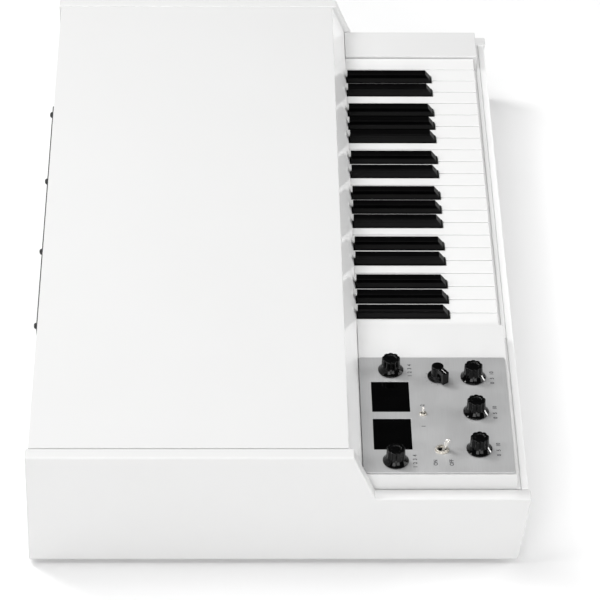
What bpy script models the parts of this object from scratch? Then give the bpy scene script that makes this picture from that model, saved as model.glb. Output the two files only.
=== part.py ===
"""A free-standing sample playback keyboard: lacquered cabinet, 37-key action and a control plate.

Frame: metres, +Z up, +X towards the player's right (treble), -Y towards the player. The origin is the
centre of the instrument's footprint, on the surface that its feet stand on. Heights named *_Z are
measured from there, and places named *_X and *_Y are world coordinates.
"""
import math

import bmesh
import bpy
from mathutils import Matrix, Vector

# Fits
GAP = 0.0003                    # joint between two pieces that touch
KEY_GAP = 0.0009                # between neighbouring keys
SHAFT_CLEARANCE = 0.0003        # round a turning shaft or a switch ball

# Cabinet
CHEEK_THICKNESS = 0.016
CABINET_HEIGHT = 0.131          # cheek, without the feet
CABINET_DEPTH = 0.501
LOW_HEIGHT = 0.079              # cheek beside the keys
SLANT_RUN = 0.022               # the cheek's slanted edge leans back this far
SLANT_REACH = 0.0092            # top of the slanted edge, behind the key line
FRONT_LEAN = 0.010              # the front is set back this far at its bottom
CHEEK_EDGE = 0.0015             # rounded arrises
PANEL_SET_BACK = 0.0025         # front panel, lid and rear panel inside the cheeks' ends
LID_THICKNESS = 0.012
LID_END_GAP = 0.0008
FALLBOARD_THICKNESS = 0.010
FALLBOARD_SET_BACK = 0.0048     # behind the cheek's slanted edge
FALLBOARD_FOOT_GAP = 0.0015     # above the white keys
FRONT_PANEL_THICKNESS = 0.007
REAR_PANEL_THICKNESS = 0.012
BOTTOM_THICKNESS = 0.012
FOOT_HEIGHT = 0.005
FOOT_RADIUS = 0.011
FOOT_INSET = 0.045

# Keyboard
WHITE_COUNT = 22
WHITE_NOTES = "fgabcde"
KEY_PITCH = 0.0235
WHITE_LENGTH = 0.150            # in front of the key line
WHITE_TOP_HEIGHT = 0.094        # above the cabinet's underside
KEY_THICKNESS = 0.012
APRON_DEPTH = 0.020
APRON_THICKNESS = 0.003
KEY_DIP = 0.010
BLACK_LENGTH = 0.099            # in front of the key line
BLACK_HEIGHT = 0.010
BLACK_BASE_WIDTH = 0.0129
BLACK_TOP_WIDTH = 0.0095
BLACK_LIP_HEIGHT = 0.0018
BLACK_LIP_DEPTH = 0.0010
BLACK_SLOPE_RUN = 0.0060
BLACK_REAR_GAP = 0.0022         # between the cap's rear and the key line
BLACK_TAIL_DROP = 0.0003        # tail top below the white tops
BLACK_SHIFT = {"f": -0.00337, "g": 0.0, "a": 0.00337, "c": -0.00213, "d": 0.00213}
PIVOT_REACH = 0.060             # pivot rod behind the key line
PIVOT_RADIUS = 0.003
KEY_TAIL = 0.012                # key behind the pivot rod
NOTCH_STEPS = 6

# Key chassis, a folded steel frame under the keys
CHASSIS_SHEET = 0.003
CHASSIS_DECK_DROP = 0.034       # deck below the white tops
CHASSIS_FRONT_REACH = 0.138     # in front of the key line
CHASSIS_TAIL = 0.020            # behind the pivot rod
CHASSIS_POST = 0.0040
GUIDE_REACH = 0.122
GUIDE_CLEARANCE = 0.0015

# Blocks beside the keys
BASS_SIDE = 0.2488              # from the bass cheek to the first key
TREBLE_SIDE = 0.054             # from the last key to the treble cheek
BLOCK_RISE = 0.0025             # above the white tops
BLOCK_END_GAP = 0.0008
BLOCK_WALL = 0.007
BLOCK_TOP = 0.008
KEY_SLIP_THICKNESS = 0.0043
KEY_SLIP_HEIGHT = 0.034
KEY_FRONT_GAP = 0.0043          # between the key slip and the white keys

# Control plate and what it carries, placed from the plate's bass front corner (right, back)
PLATE_LENGTH = 0.1868
PLATE_THICKNESS = 0.002
PLATE_END_MARGIN = 0.0012
PLATE_FRONT_MARGIN = 0.0021
PLATE_LEDGE = 0.006
KNOBS = {
    "volume": (0.0358, 0.0342),
    "tone": (0.0955, 0.0344),
    "pitch": (0.1528, 0.0344),
    "select_a": (0.0173, 0.1185),
    "select_b": (0.1647, 0.1186),
}
MIX_KNOB = (0.1533, 0.0712)
POWER_TOGGLE = (0.0351, 0.0716)
RANGE_TOGGLE = (0.0930, 0.0881)
DISPLAY_CENTRES = ((0.0606, 0.1202), (0.1213, 0.1202))
DISPLAY_LENGTH = 0.0490
DISPLAY_WIDTH = 0.0380
DISPLAY_RECESS = 0.0005
DISPLAY_DEPTH = 0.0030          # glass below the plate's underside
DISPLAY_BOARD_THICKNESS = 0.0016
DISPLAY_BOARD_MARGIN = 0.002

# Knobs
KNOB_HEIGHT = 0.0162
KNOB_LIFT = 0.0005              # skirt above the plate
SKIRT_RADIUS = 0.013
SKIRT_RIM = 0.0014
SKIRT_RISE = 0.0060             # where the skirt meets the grip, above the skirt's foot
GRIP_RADIUS = 0.0097
GRIP_TOP_RADIUS = 0.0093
SHAFT_RADIUS = 0.003
SHAFT_DEPTH = 0.008             # below the plate's top
MIX_HEIGHT = 0.0150
MIX_FLANGE_RADIUS = 0.0102
MIX_FLANGE_RIM = 0.0030
MIX_CORE_RADIUS = 0.0062
BAR_LENGTH = 0.0148             # mix knob's pointer, from its axis
BAR_WIDTH = 0.0075
BAR_DROP = 0.0006               # pointer top below the core's top
BAR_ANGLE = math.radians(214.0)  # from +X, counter-clockwise
POT_RADIUS = 0.008
POT_DEPTH = 0.009

# Toggle switches: (bushing radius, mouth radius, bushing height, ball radius, pivot depth, lever radius,
# lever length, tip radius, lean in degrees, body size)
POWER_SWITCH = dict(bushing=0.0072, mouth=0.0049, height=0.0025, ball=0.0034, depth=0.005, lever=0.0017,
                    length=0.020, tip=0.0026, lean=math.radians(18.5), body=0.016)
RANGE_SWITCH = dict(bushing=0.0040, mouth=0.0026, height=0.0015, ball=0.0018, depth=0.003, lever=0.0009,
                    length=0.0105, tip=0.0014, lean=math.radians(12.5), body=0.009)
SWITCH_MOUTH_DEPTH = 0.001      # the wide mouth, below the plate's top
SWITCH_FLOOR = 0.003

# Rear plate with the sockets, placed along the plate from its centre
SCREW_COLUMNS = 4
SCREW_SPACING = 0.1315
SCREW_RADIUS = 0.0032
SCREW_HEIGHT = 0.0030
REAR_PLATE_MARGIN = 0.010       # from the end screws to the plate's ends
REAR_PLATE_HEIGHT = 0.074
REAR_PLATE_DROP = 0.001         # top edge below the lid's underside
REAR_PLATE_THICKNESS = 0.002
REAR_PLATE_LAP = 0.013          # plate over the panel round its opening
REAR_PLATE_SHIFT = 0.0127       # the plate is this far towards the treble side
INLET_PLACE = -0.150
INLET_LENGTH = 0.0245
INLET_HEIGHT = 0.0170
INLET_DEPTH = 0.0160
SOCKET_WALL = 0.002
DIN_PLACES = (-0.095, -0.065)
DIN_RADIUS = 0.0076
DIN_DEPTH = 0.0090
JACK_PLACES = (-0.020, 0.020, 0.060, 0.095)
JACK_RADIUS = 0.00325
JACK_BODY = 0.014
JACK_DEPTH = 0.022

# Main board
BOARD_LENGTH = 0.220
BOARD_WIDTH = 0.140
BOARD_THICKNESS = 0.0016
BOARD_STANDOFF = 0.006
BOARD_PLACE_X = 0.040
BOARD_REAR_GAP = 0.060          # in front of the rear panel
STANDOFF_RADIUS = 0.003
STANDOFF_INSET = 0.008
CHIP_SIZES = ((0.050, 0.050, 0.012, -0.060, 0.0), (0.030, 0.040, 0.006, 0.010, 0.020),
              (0.040, 0.030, 0.025, 0.075, -0.030))

# Derived places along X
KEYS_WIDTH = WHITE_COUNT * KEY_PITCH
INNER_WIDTH = BASS_SIDE + KEYS_WIDTH + TREBLE_SIDE
LEFT_X = -INNER_WIDTH / 2 - CHEEK_THICKNESS
INNER_LEFT_X = -INNER_WIDTH / 2
INNER_RIGHT_X = INNER_WIDTH / 2
KEYS_LEFT_X = INNER_LEFT_X + BASS_SIDE
KEYS_RIGHT_X = KEYS_LEFT_X + KEYS_WIDTH

# Derived places along Y
SCREW_STAND = max(0.0, GAP + REAR_PLATE_THICKNESS + SCREW_HEIGHT - PANEL_SET_BACK)
FRONT_Y = -(CABINET_DEPTH + SCREW_STAND) / 2
REAR_Y = FRONT_Y + CABINET_DEPTH
PANEL_FRONT_Y = FRONT_Y + PANEL_SET_BACK
PANEL_REAR_Y = REAR_Y - PANEL_SET_BACK
SLIP_FRONT_Y = PANEL_FRONT_Y + FRONT_PANEL_THICKNESS + GAP
BLOCK_FRONT_Y = SLIP_FRONT_Y + KEY_SLIP_THICKNESS
WHITE_FRONT_Y = BLOCK_FRONT_Y + KEY_FRONT_GAP
KEY_LINE_Y = WHITE_FRONT_Y + WHITE_LENGTH
PIVOT_Y = KEY_LINE_Y + PIVOT_REACH
SLANT_TOP_Y = KEY_LINE_Y + SLANT_REACH
SLANT_BOTTOM_Y = SLANT_TOP_Y - SLANT_RUN
LID_FRONT_Y = SLANT_TOP_Y + FALLBOARD_SET_BACK

# Derived heights
BASE_Z = FOOT_HEIGHT
TOP_Z = BASE_Z + CABINET_HEIGHT
LOW_Z = BASE_Z + LOW_HEIGHT
FLOOR_Z = BASE_Z + BOTTOM_THICKNESS + GAP
WHITE_TOP_Z = BASE_Z + WHITE_TOP_HEIGHT
KEY_UNDER_Z = WHITE_TOP_Z - KEY_THICKNESS
PIVOT_Z = KEY_UNDER_Z
BLOCK_TOP_Z = WHITE_TOP_Z + BLOCK_RISE
PLATE_UNDER_Z = BLOCK_TOP_Z + GAP
PLATE_TOP_Z = PLATE_UNDER_Z + PLATE_THICKNESS
FALLBOARD_FOOT_Z = WHITE_TOP_Z + FALLBOARD_FOOT_GAP
LID_UNDER_Z = TOP_Z - LID_THICKNESS
DECK_Z = WHITE_TOP_Z - CHASSIS_DECK_DROP
SLANT = SLANT_RUN / (CABINET_HEIGHT - LOW_HEIGHT)
LEAN = FRONT_LEAN / LOW_HEIGHT

# The control plate's corner and the two blocks
BLOCK_LEFT_X = INNER_LEFT_X + BLOCK_END_GAP
PLATE_LEFT_X = BLOCK_LEFT_X + PLATE_END_MARGIN
PLATE_RIGHT_X = PLATE_LEFT_X + PLATE_LENGTH
PLATE_FRONT_Y = BLOCK_FRONT_Y + PLATE_FRONT_MARGIN
DIP_ANGLE = math.asin(KEY_DIP / (WHITE_LENGTH + PIVOT_REACH))


def fallboard_face_y(height_z):
    """The fallboard's face at a height; it is parallel to the cheeks' slanted edge."""
    return LID_FRONT_Y - SLANT * (TOP_Z - height_z)


def panel_inner_y(height_z):
    """The front panel's rear face at a height; the panel leans like the cheeks' front."""
    return PANEL_FRONT_Y + FRONT_PANEL_THICKNESS + LEAN * (LOW_Z - height_z)


BLOCK_REAR_Y = fallboard_face_y(FALLBOARD_FOOT_Z) - GAP
PLATE_REAR_Y = BLOCK_REAR_Y


# Scene and materials

def clear_scene():
    """Remove every object, so that the model is built the same way each time."""
    for item in list(bpy.data.objects):
        bpy.data.objects.remove(item, do_unlink=True)
    for group in list(bpy.data.collections):
        bpy.data.collections.remove(group)


def new_collection(name):
    """Make a collection under the scene."""
    group = bpy.data.collections.new(name)
    bpy.context.scene.collection.children.link(group)
    return group


def new_material(name, colour, roughness, metallic=0.0):
    """A Principled material with one colour."""
    made = bpy.data.materials.new(name)
    made.use_nodes = True
    shader = made.node_tree.nodes["Principled BSDF"]
    shader.inputs["Base Color"].default_value = (*colour, 1.0)
    shader.inputs["Roughness"].default_value = roughness
    shader.inputs["Metallic"].default_value = metallic
    made.diffuse_color = (*colour, 1.0)
    return made


clear_scene()
MODEL = new_collection("sample_playback_keyboard")
CUTTERS = new_collection("cutters")
LACQUER = new_material("white_lacquer", (0.90, 0.90, 0.90), 0.25)
WHITE_KEY = new_material("white_key_plastic", (0.92, 0.92, 0.92), 0.30)
BLACK_KEY = new_material("black_key_plastic", (0.012, 0.012, 0.012), 0.35)
KNOB_PLASTIC = new_material("knob_plastic", (0.008, 0.008, 0.008), 0.12)
SATIN_ALUMINIUM = new_material("satin_aluminium", (0.62, 0.62, 0.63), 0.40, 1.0)
CHROME = new_material("chrome", (0.80, 0.80, 0.80), 0.10, 1.0)
SHEET_STEEL = new_material("sheet_steel", (0.45, 0.45, 0.46), 0.45, 1.0)
CIRCUIT_BOARD = new_material("circuit_board", (0.02, 0.03, 0.025), 0.50)


# Shapes

def add_object(name, mesh, finish, origin=(0.0, 0.0, 0.0), parent=None):
    """Put a mesh, given in world coordinates, in the model with its object's origin at a point."""
    mesh.transform(Matrix.Translation(-Vector(origin)))
    return place_object(name, mesh, finish, origin, parent)


def place_object(name, mesh, finish, origin, parent=None):
    """Put a mesh, given round its own origin, in the model."""
    made = bpy.data.objects.new(name, mesh)
    if finish.name not in mesh.materials:
        mesh.materials.append(finish)
    made.location = origin
    MODEL.objects.link(made)
    if parent is not None:
        made.parent = parent
        made.matrix_parent_inverse = parent.matrix_world.inverted()
    return made


def add_cutter(name, mesh):
    """A guide for a Boolean: it is never part of the model."""
    guide = bpy.data.objects.new(name, mesh)
    guide.hide_render = True
    guide.display_type = "WIRE"
    CUTTERS.objects.link(guide)
    return guide


def add_empty(name, place):
    """An empty that groups the pieces hung on it."""
    made = bpy.data.objects.new(name, None)
    made.empty_display_size = 0.02
    made.location = place
    MODEL.objects.link(made)
    made.matrix_world = Matrix.Translation(place)
    return made


def box_mesh(name, low, high):
    """A box between two corners, in world coordinates."""
    size = Vector(high) - Vector(low)
    centre = (Vector(high) + Vector(low)) / 2
    work = bmesh.new()
    bmesh.ops.create_cube(work, size=1.0, matrix=Matrix.Translation(centre) @ Matrix.Diagonal((*size, 1.0)))
    return finish_mesh(name, work)


def cylinder_mesh(name, radius, start, end, segments=16):
    """A round bar from one point to another."""
    start = Vector(start)
    along = Vector(end) - start
    turn = Vector((0.0, 0.0, 1.0)).rotation_difference(along).to_matrix().to_4x4()
    work = bmesh.new()
    bmesh.ops.create_cone(work, cap_ends=True, segments=segments, radius1=radius, radius2=radius,
                          depth=along.length, matrix=Matrix.Translation(start + along / 2) @ turn)
    mesh = finish_mesh(name, work)
    mesh.shade_smooth()
    mesh.set_sharp_from_angle(angle=math.radians(30.0))
    return mesh


def finish_mesh(name, work):
    """Close a bmesh into a mesh whose faces point out."""
    bmesh.ops.recalc_face_normals(work, faces=work.faces)
    mesh = bpy.data.meshes.new(name)
    work.to_mesh(mesh)
    work.free()
    return mesh


def profile_mesh(name, points, low_x, high_x):
    """A (y, z) outline drawn as a flat curve and extruded along X between two planes."""
    curve = bpy.data.curves.new(name, "CURVE")
    curve.dimensions = "2D"
    curve.fill_mode = "BOTH"
    curve.extrude = (high_x - low_x) / 2
    spline = curve.splines.new("POLY")
    spline.points.add(len(points) - 1)
    for point, (along, up) in zip(spline.points, points):
        point.co = (along, up, 0.0, 1.0)
    spline.use_cyclic_u = True
    drawn = bpy.data.objects.new(name, curve)
    CUTTERS.objects.link(drawn)
    mesh = bpy.data.meshes.new_from_object(drawn.evaluated_get(bpy.context.evaluated_depsgraph_get()))
    bpy.data.objects.remove(drawn, do_unlink=True)
    work = bmesh.new()
    work.from_mesh(mesh)
    bmesh.ops.remove_doubles(work, verts=work.verts, dist=0.00001)
    bmesh.ops.dissolve_limit(work, angle_limit=math.radians(0.5), verts=work.verts, edges=work.edges)
    turn = Matrix(((0.0, 0.0, 1.0, (low_x + high_x) / 2), (1.0, 0.0, 0.0, 0.0), (0.0, 1.0, 0.0, 0.0),
                   (0.0, 0.0, 0.0, 1.0)))
    bmesh.ops.transform(work, matrix=turn, verts=work.verts)
    bpy.data.meshes.remove(mesh)
    return finish_mesh(name, work)


def turned_object(name, profile, finish, origin, steps=20, parent=None):
    """A (radius, height) profile, listed from the top down, turned round its own Z axis."""
    mesh = bpy.data.meshes.new(name)
    mesh.from_pydata([(radius, 0.0, height) for radius, height in profile],
                     [(i, i + 1) for i in range(len(profile) - 1)], [])
    made = place_object(name, mesh, finish, origin, parent)
    turn = made.modifiers.new("turn", "SCREW")
    turn.steps = steps
    turn.render_steps = steps
    turn.use_merge_vertices = True
    turn.merge_threshold = 0.00001
    turn.use_smooth_shade = True
    return made


def cut(target, guide):
    """Cut a guide's shape out of an object."""
    step = target.modifiers.new("cut_" + guide.name, "BOOLEAN")
    step.operation = "DIFFERENCE"
    step.solver = "EXACT"
    step.object = guide


def join(target, guide):
    """Join a guide's shape to an object."""
    step = target.modifiers.new("join_" + guide.name, "BOOLEAN")
    step.operation = "UNION"
    step.solver = "EXACT"
    step.object = guide


def round_edges(target, width, segments=2):
    """Round an object's sharp edges."""
    step = target.modifiers.new("round_edges", "BEVEL")
    step.width = width
    step.segments = segments
    step.limit_method = "ANGLE"
    step.angle_limit = math.radians(35.0)


def ball_arc(radius, start_angle, steps):
    """Points of a ball's lower outline, from an angle above its centre down to its bottom."""
    angles = [start_angle - (start_angle + math.pi / 2) * i / steps for i in range(steps + 1)]
    return [(radius * math.cos(a), radius * math.sin(a)) for a in angles[:-1]] + [(0.0, -radius)]


# Cabinet

def build_cheek(name, low_x):
    """One end of the cabinet: high over the lid, low and leaning beside the keys."""
    outline = [
        (REAR_Y, BASE_Z), (REAR_Y, TOP_Z), (SLANT_TOP_Y, TOP_Z), (SLANT_BOTTOM_Y, LOW_Z),
        (FRONT_Y, LOW_Z), (FRONT_Y + FRONT_LEAN, BASE_Z),
    ]
    mesh = profile_mesh(name, outline, low_x, low_x + CHEEK_THICKNESS)
    cheek = add_object(name, mesh, LACQUER, (low_x + CHEEK_THICKNESS / 2, 0.0, BASE_Z))
    round_edges(cheek, CHEEK_EDGE)


def build_lid():
    """The top board; its front edge is mitred to the fallboard's face."""
    thickness_along_y = FALLBOARD_THICKNESS * math.hypot(1.0, SLANT)
    inner_y = fallboard_face_y(LID_UNDER_Z) + thickness_along_y
    outline = [
        (PANEL_REAR_Y, LID_UNDER_Z), (PANEL_REAR_Y, TOP_Z), (LID_FRONT_Y, TOP_Z), (inner_y, LID_UNDER_Z),
    ]
    mesh = profile_mesh("top_lid", outline, INNER_LEFT_X + LID_END_GAP, INNER_RIGHT_X - LID_END_GAP)
    add_object("top_lid", mesh, LACQUER, (0.0, LID_FRONT_Y, TOP_Z))


def build_fallboard():
    """The slanted board behind the keys, from the lid's front edge down to just above the keys."""
    thickness_along_y = FALLBOARD_THICKNESS * math.hypot(1.0, SLANT)
    foot_y = fallboard_face_y(FALLBOARD_FOOT_Z)
    mitre_y = fallboard_face_y(LID_UNDER_Z) + thickness_along_y
    mitre_run = math.hypot(mitre_y - LID_FRONT_Y, LID_THICKNESS)
    clear_y = GAP * LID_THICKNESS / mitre_run
    clear_z = GAP * (mitre_y - LID_FRONT_Y) / mitre_run
    drop = (clear_y + clear_z / LID_THICKNESS * (mitre_y - LID_FRONT_Y))
    outline = [
        (foot_y, FALLBOARD_FOOT_Z),
        (foot_y + thickness_along_y, FALLBOARD_FOOT_Z),
        (mitre_y - SLANT * drop, LID_UNDER_Z - drop),
        (LID_FRONT_Y - SLANT * drop, TOP_Z - drop),
    ]
    mesh = profile_mesh("fallboard", outline, INNER_LEFT_X + GAP, INNER_RIGHT_X - GAP)
    add_object("fallboard", mesh, LACQUER, (0.0, foot_y, FALLBOARD_FOOT_Z))


def build_front_panel():
    """The thin leaning board in front of the keys."""
    outline = [
        (PANEL_FRONT_Y, LOW_Z), (PANEL_FRONT_Y + FRONT_LEAN, BASE_Z),
        (PANEL_FRONT_Y + FRONT_LEAN + FRONT_PANEL_THICKNESS, BASE_Z),
        (PANEL_FRONT_Y + FRONT_PANEL_THICKNESS, LOW_Z),
    ]
    mesh = profile_mesh("front_panel", outline, INNER_LEFT_X + GAP, INNER_RIGHT_X - GAP)
    add_object("front_panel", mesh, LACQUER, (0.0, PANEL_FRONT_Y, LOW_Z))


def build_key_slip():
    """The strip that fills the slot between the front panel and the keys."""
    lean = LEAN * KEY_SLIP_HEIGHT
    foot_z = LOW_Z - KEY_SLIP_HEIGHT
    outline = [
        (SLIP_FRONT_Y, LOW_Z), (SLIP_FRONT_Y + lean, foot_z),
        (SLIP_FRONT_Y + KEY_SLIP_THICKNESS + lean, foot_z), (SLIP_FRONT_Y + KEY_SLIP_THICKNESS, LOW_Z),
    ]
    mesh = profile_mesh("key_slip", outline, KEYS_LEFT_X, KEYS_RIGHT_X)
    add_object("key_slip", mesh, LACQUER, (0.0, SLIP_FRONT_Y, LOW_Z))


def build_rear_panel():
    """The rear board, with the opening that the socket plate covers."""
    low = (INNER_LEFT_X + GAP, PANEL_REAR_Y - REAR_PANEL_THICKNESS, FLOOR_Z)
    high = (INNER_RIGHT_X - GAP, PANEL_REAR_Y, LID_UNDER_Z - GAP)
    panel = add_object("rear_panel", box_mesh("rear_panel", low, high), LACQUER, (0.0, PANEL_REAR_Y, FLOOR_Z))
    half = rear_plate_half_length() - REAR_PLATE_LAP
    front_y = PANEL_REAR_Y - 2 * REAR_PANEL_THICKNESS
    low = (REAR_PLATE_SHIFT - half, front_y, rear_plate_low_z() + REAR_PLATE_LAP)
    rear_y = PANEL_REAR_Y + REAR_PANEL_THICKNESS
    high = (REAR_PLATE_SHIFT + half, rear_y, rear_plate_high_z() - REAR_PLATE_LAP)
    cut(panel, add_cutter("rear_opening", box_mesh("rear_opening", low, high)))


def build_bottom_panel():
    """The floor board with its four rubber feet."""
    front_y = panel_inner_y(BASE_Z) + GAP
    low = (INNER_LEFT_X + GAP, front_y, BASE_Z)
    high = (INNER_RIGHT_X - GAP, PANEL_REAR_Y, BASE_Z + BOTTOM_THICKNESS)
    panel = add_object("bottom_panel", box_mesh("bottom_panel", low, high), LACQUER, (0.0, 0.0, BASE_Z))
    for end, x in (("bass", INNER_LEFT_X + FOOT_INSET), ("treble", INNER_RIGHT_X - FOOT_INSET)):
        for side, y in (("front", front_y + FOOT_INSET), ("rear", PANEL_REAR_Y - FOOT_INSET)):
            name = "foot_" + end + "_" + side
            foot = cylinder_mesh(name, FOOT_RADIUS, (x, y, 0.0), (x, y, BASE_Z + BOTTOM_THICKNESS / 2))
            join(panel, add_cutter(name, foot))


def build_block(name, low_x, high_x):
    """A hollow block beside the keys, open below; its front follows the leaning front panel."""
    knee_z = LOW_Z - (BLOCK_FRONT_Y - GAP - panel_inner_y(LOW_Z)) / LEAN
    foot_y = panel_inner_y(FLOOR_Z) + GAP
    outline = [
        (BLOCK_REAR_Y, FLOOR_Z), (BLOCK_REAR_Y, BLOCK_TOP_Z), (BLOCK_FRONT_Y, BLOCK_TOP_Z),
        (BLOCK_FRONT_Y, knee_z), (foot_y, FLOOR_Z),
    ]
    mesh = profile_mesh(name, outline, low_x, high_x)
    block = add_object(name, mesh, LACQUER, (low_x, BLOCK_FRONT_Y, FLOOR_Z))
    low = (low_x + BLOCK_WALL, foot_y + BLOCK_WALL, FLOOR_Z - BLOCK_WALL)
    high = (high_x - BLOCK_WALL, BLOCK_REAR_Y - BLOCK_WALL, BLOCK_TOP_Z - BLOCK_TOP)
    hollow = name + "_hollow"
    cut(block, add_cutter(hollow, box_mesh(hollow, low, high)))
    return block


def build_blocks():
    """The control block at the bass side and the plain block at the treble side."""
    block = build_block("control_block", BLOCK_LEFT_X, KEYS_LEFT_X - KEY_GAP)
    inset = BLOCK_WALL + GAP
    low = (BLOCK_LEFT_X + inset, BLOCK_FRONT_Y + inset, BLOCK_TOP_Z - 2 * BLOCK_TOP)
    high = (PLATE_RIGHT_X - PLATE_LEDGE, BLOCK_REAR_Y - inset, BLOCK_TOP_Z + BLOCK_TOP)
    cut(block, add_cutter("plate_opening", box_mesh("plate_opening", low, high)))
    build_block("treble_block", KEYS_RIGHT_X + KEY_GAP, INNER_RIGHT_X - BLOCK_END_GAP)


# Rear plate

def rear_plate_half_length():
    """Half of the socket plate's length."""
    return SCREW_SPACING * (SCREW_COLUMNS - 1) / 2 + REAR_PLATE_MARGIN


def rear_plate_high_z():
    """The socket plate's top edge."""
    return LID_UNDER_Z - REAR_PLATE_DROP


def rear_plate_low_z():
    """The socket plate's bottom edge."""
    return rear_plate_high_z() - REAR_PLATE_HEIGHT


def build_connector_plate():
    """The steel plate with the mains inlet, two data sockets, four jack sockets and its screws."""
    inner_y = PANEL_REAR_Y + GAP
    outer_y = inner_y + REAR_PLATE_THICKNESS
    half = rear_plate_half_length()
    row_z = (rear_plate_low_z() + rear_plate_high_z()) / 2
    mesh = box_mesh("connector_plate", (REAR_PLATE_SHIFT - half, inner_y, rear_plate_low_z()),
                    (REAR_PLATE_SHIFT + half, outer_y, rear_plate_high_z()))
    plate = add_object("connector_plate", mesh, SHEET_STEEL, (REAR_PLATE_SHIFT, outer_y, row_z))
    seat_y = inner_y + REAR_PLATE_THICKNESS / 2
    for column in range(SCREW_COLUMNS):
        x = REAR_PLATE_SHIFT + (column - (SCREW_COLUMNS - 1) / 2) * SCREW_SPACING
        rows = (rear_plate_low_z() + SCREW_RADIUS * 2, rear_plate_high_z() - SCREW_RADIUS * 2)
        for row, z in enumerate(rows):
            name = f"screw_{column}_{row}"
            head = cylinder_mesh(name, SCREW_RADIUS, (x, seat_y, z), (x, outer_y + SCREW_HEIGHT, z), 12)
            join(plate, add_cutter(name, head))
    x = REAR_PLATE_SHIFT + INLET_PLACE
    wall = SOCKET_WALL
    half_x = INLET_LENGTH / 2
    half_z = INLET_HEIGHT / 2
    low = (x - half_x - wall, inner_y - INLET_DEPTH - wall, row_z - half_z - wall)
    high = (x + half_x + wall, seat_y, row_z + half_z + wall)
    join(plate, add_cutter("inlet_body", box_mesh("inlet_body", low, high)))
    low = (x - half_x, inner_y - INLET_DEPTH, row_z - half_z)
    high = (x + half_x, outer_y + wall, row_z + half_z)
    cut(plate, add_cutter("inlet_hole", box_mesh("inlet_hole", low, high)))
    for number, place in enumerate(DIN_PLACES, 1):
        x = REAR_PLATE_SHIFT + place
        end = (x, inner_y - DIN_DEPTH, row_z)
        closed_end = (x, inner_y - DIN_DEPTH - wall, row_z)
        name = f"din_body_{number}"
        join(plate, add_cutter(name, cylinder_mesh(name, DIN_RADIUS + wall, closed_end, (x, seat_y, row_z))))
        name = f"din_hole_{number}"
        cut(plate, add_cutter(name, cylinder_mesh(name, DIN_RADIUS, end, (x, outer_y + wall, row_z))))
    for number, place in enumerate(JACK_PLACES, 1):
        x = REAR_PLATE_SHIFT + place
        side = JACK_BODY / 2
        low = (x - side, inner_y - JACK_DEPTH, row_z - side)
        high = (x + side, seat_y, row_z + side)
        name = f"jack_body_{number}"
        join(plate, add_cutter(name, box_mesh(name, low, high)))
        end = (x, inner_y - JACK_DEPTH - wall, row_z)
        name = f"jack_hole_{number}"
        cut(plate, add_cutter(name, cylinder_mesh(name, JACK_RADIUS, end, (x, outer_y + wall, row_z))))


# Keyboard

def key_outline(front, body_front_y):
    """A key's (y, z) outline round its pivot: the given front, then tail, pivot notch and underside."""
    tail_y = PIVOT_Y + KEY_TAIL
    radius = PIVOT_RADIUS + SHAFT_CLEARANCE
    notch = []
    for i in range(NOTCH_STEPS + 1):
        angle = math.pi * i / NOTCH_STEPS
        notch.append((PIVOT_Y + radius * math.cos(angle), PIVOT_Z + radius * math.sin(angle)))
    return front + [(tail_y, front[-1][1]), (tail_y, KEY_UNDER_Z)] + notch + [(body_front_y, KEY_UNDER_Z)]


def build_white_keys(action):
    """The white keys, each notched for its black neighbours."""
    half = (KEY_PITCH - KEY_GAP) / 2
    apron_y = WHITE_FRONT_Y + APRON_THICKNESS
    foot_z = WHITE_TOP_Z - APRON_DEPTH
    front = [(apron_y, foot_z), (WHITE_FRONT_Y, foot_z), (WHITE_FRONT_Y, WHITE_TOP_Z)]
    blank = profile_mesh("white_key_blank", key_outline(front, apron_y), -half, half)
    blank.transform(Matrix.Translation((0.0, -PIVOT_Y, -PIVOT_Z)))
    slots = {}
    for number in range(1, WHITE_COUNT + 1):
        pivot = (white_key_x(number), PIVOT_Y, PIVOT_Z)
        key = place_object(f"white_key_{number:02d}", blank, WHITE_KEY, pivot, action)
        for neighbour in (number - 1, number):
            if not has_black_key(neighbour):
                continue
            if neighbour not in slots:
                slots[neighbour] = black_key_slot(neighbour)
            cut(key, slots[neighbour])


def white_key_x(number):
    """The middle of a white key, counted from 1 at the bass end."""
    return KEYS_LEFT_X + (number - 0.5) * KEY_PITCH


def has_black_key(number):
    """True where a black key follows white key number."""
    return 1 <= number < WHITE_COUNT and WHITE_NOTES[(number - 1) % 7] in BLACK_SHIFT


def black_key_x(number):
    """The middle of the black key that follows white key number."""
    return KEYS_LEFT_X + number * KEY_PITCH + BLACK_SHIFT[WHITE_NOTES[(number - 1) % 7]]


def black_key_slot(number):
    """The room that the white keys leave for a black key."""
    name = f"black_key_slot_{number:02d}"
    reach = BLACK_BASE_WIDTH / 2 + KEY_GAP
    low = (black_key_x(number) - reach, KEY_LINE_Y - BLACK_LENGTH - KEY_GAP, WHITE_TOP_Z - 2 * APRON_DEPTH)
    high = (black_key_x(number) + reach, PIVOT_Y + 2 * KEY_TAIL, WHITE_TOP_Z + APRON_DEPTH)
    return add_cutter(name, box_mesh(name, low, high))


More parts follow.
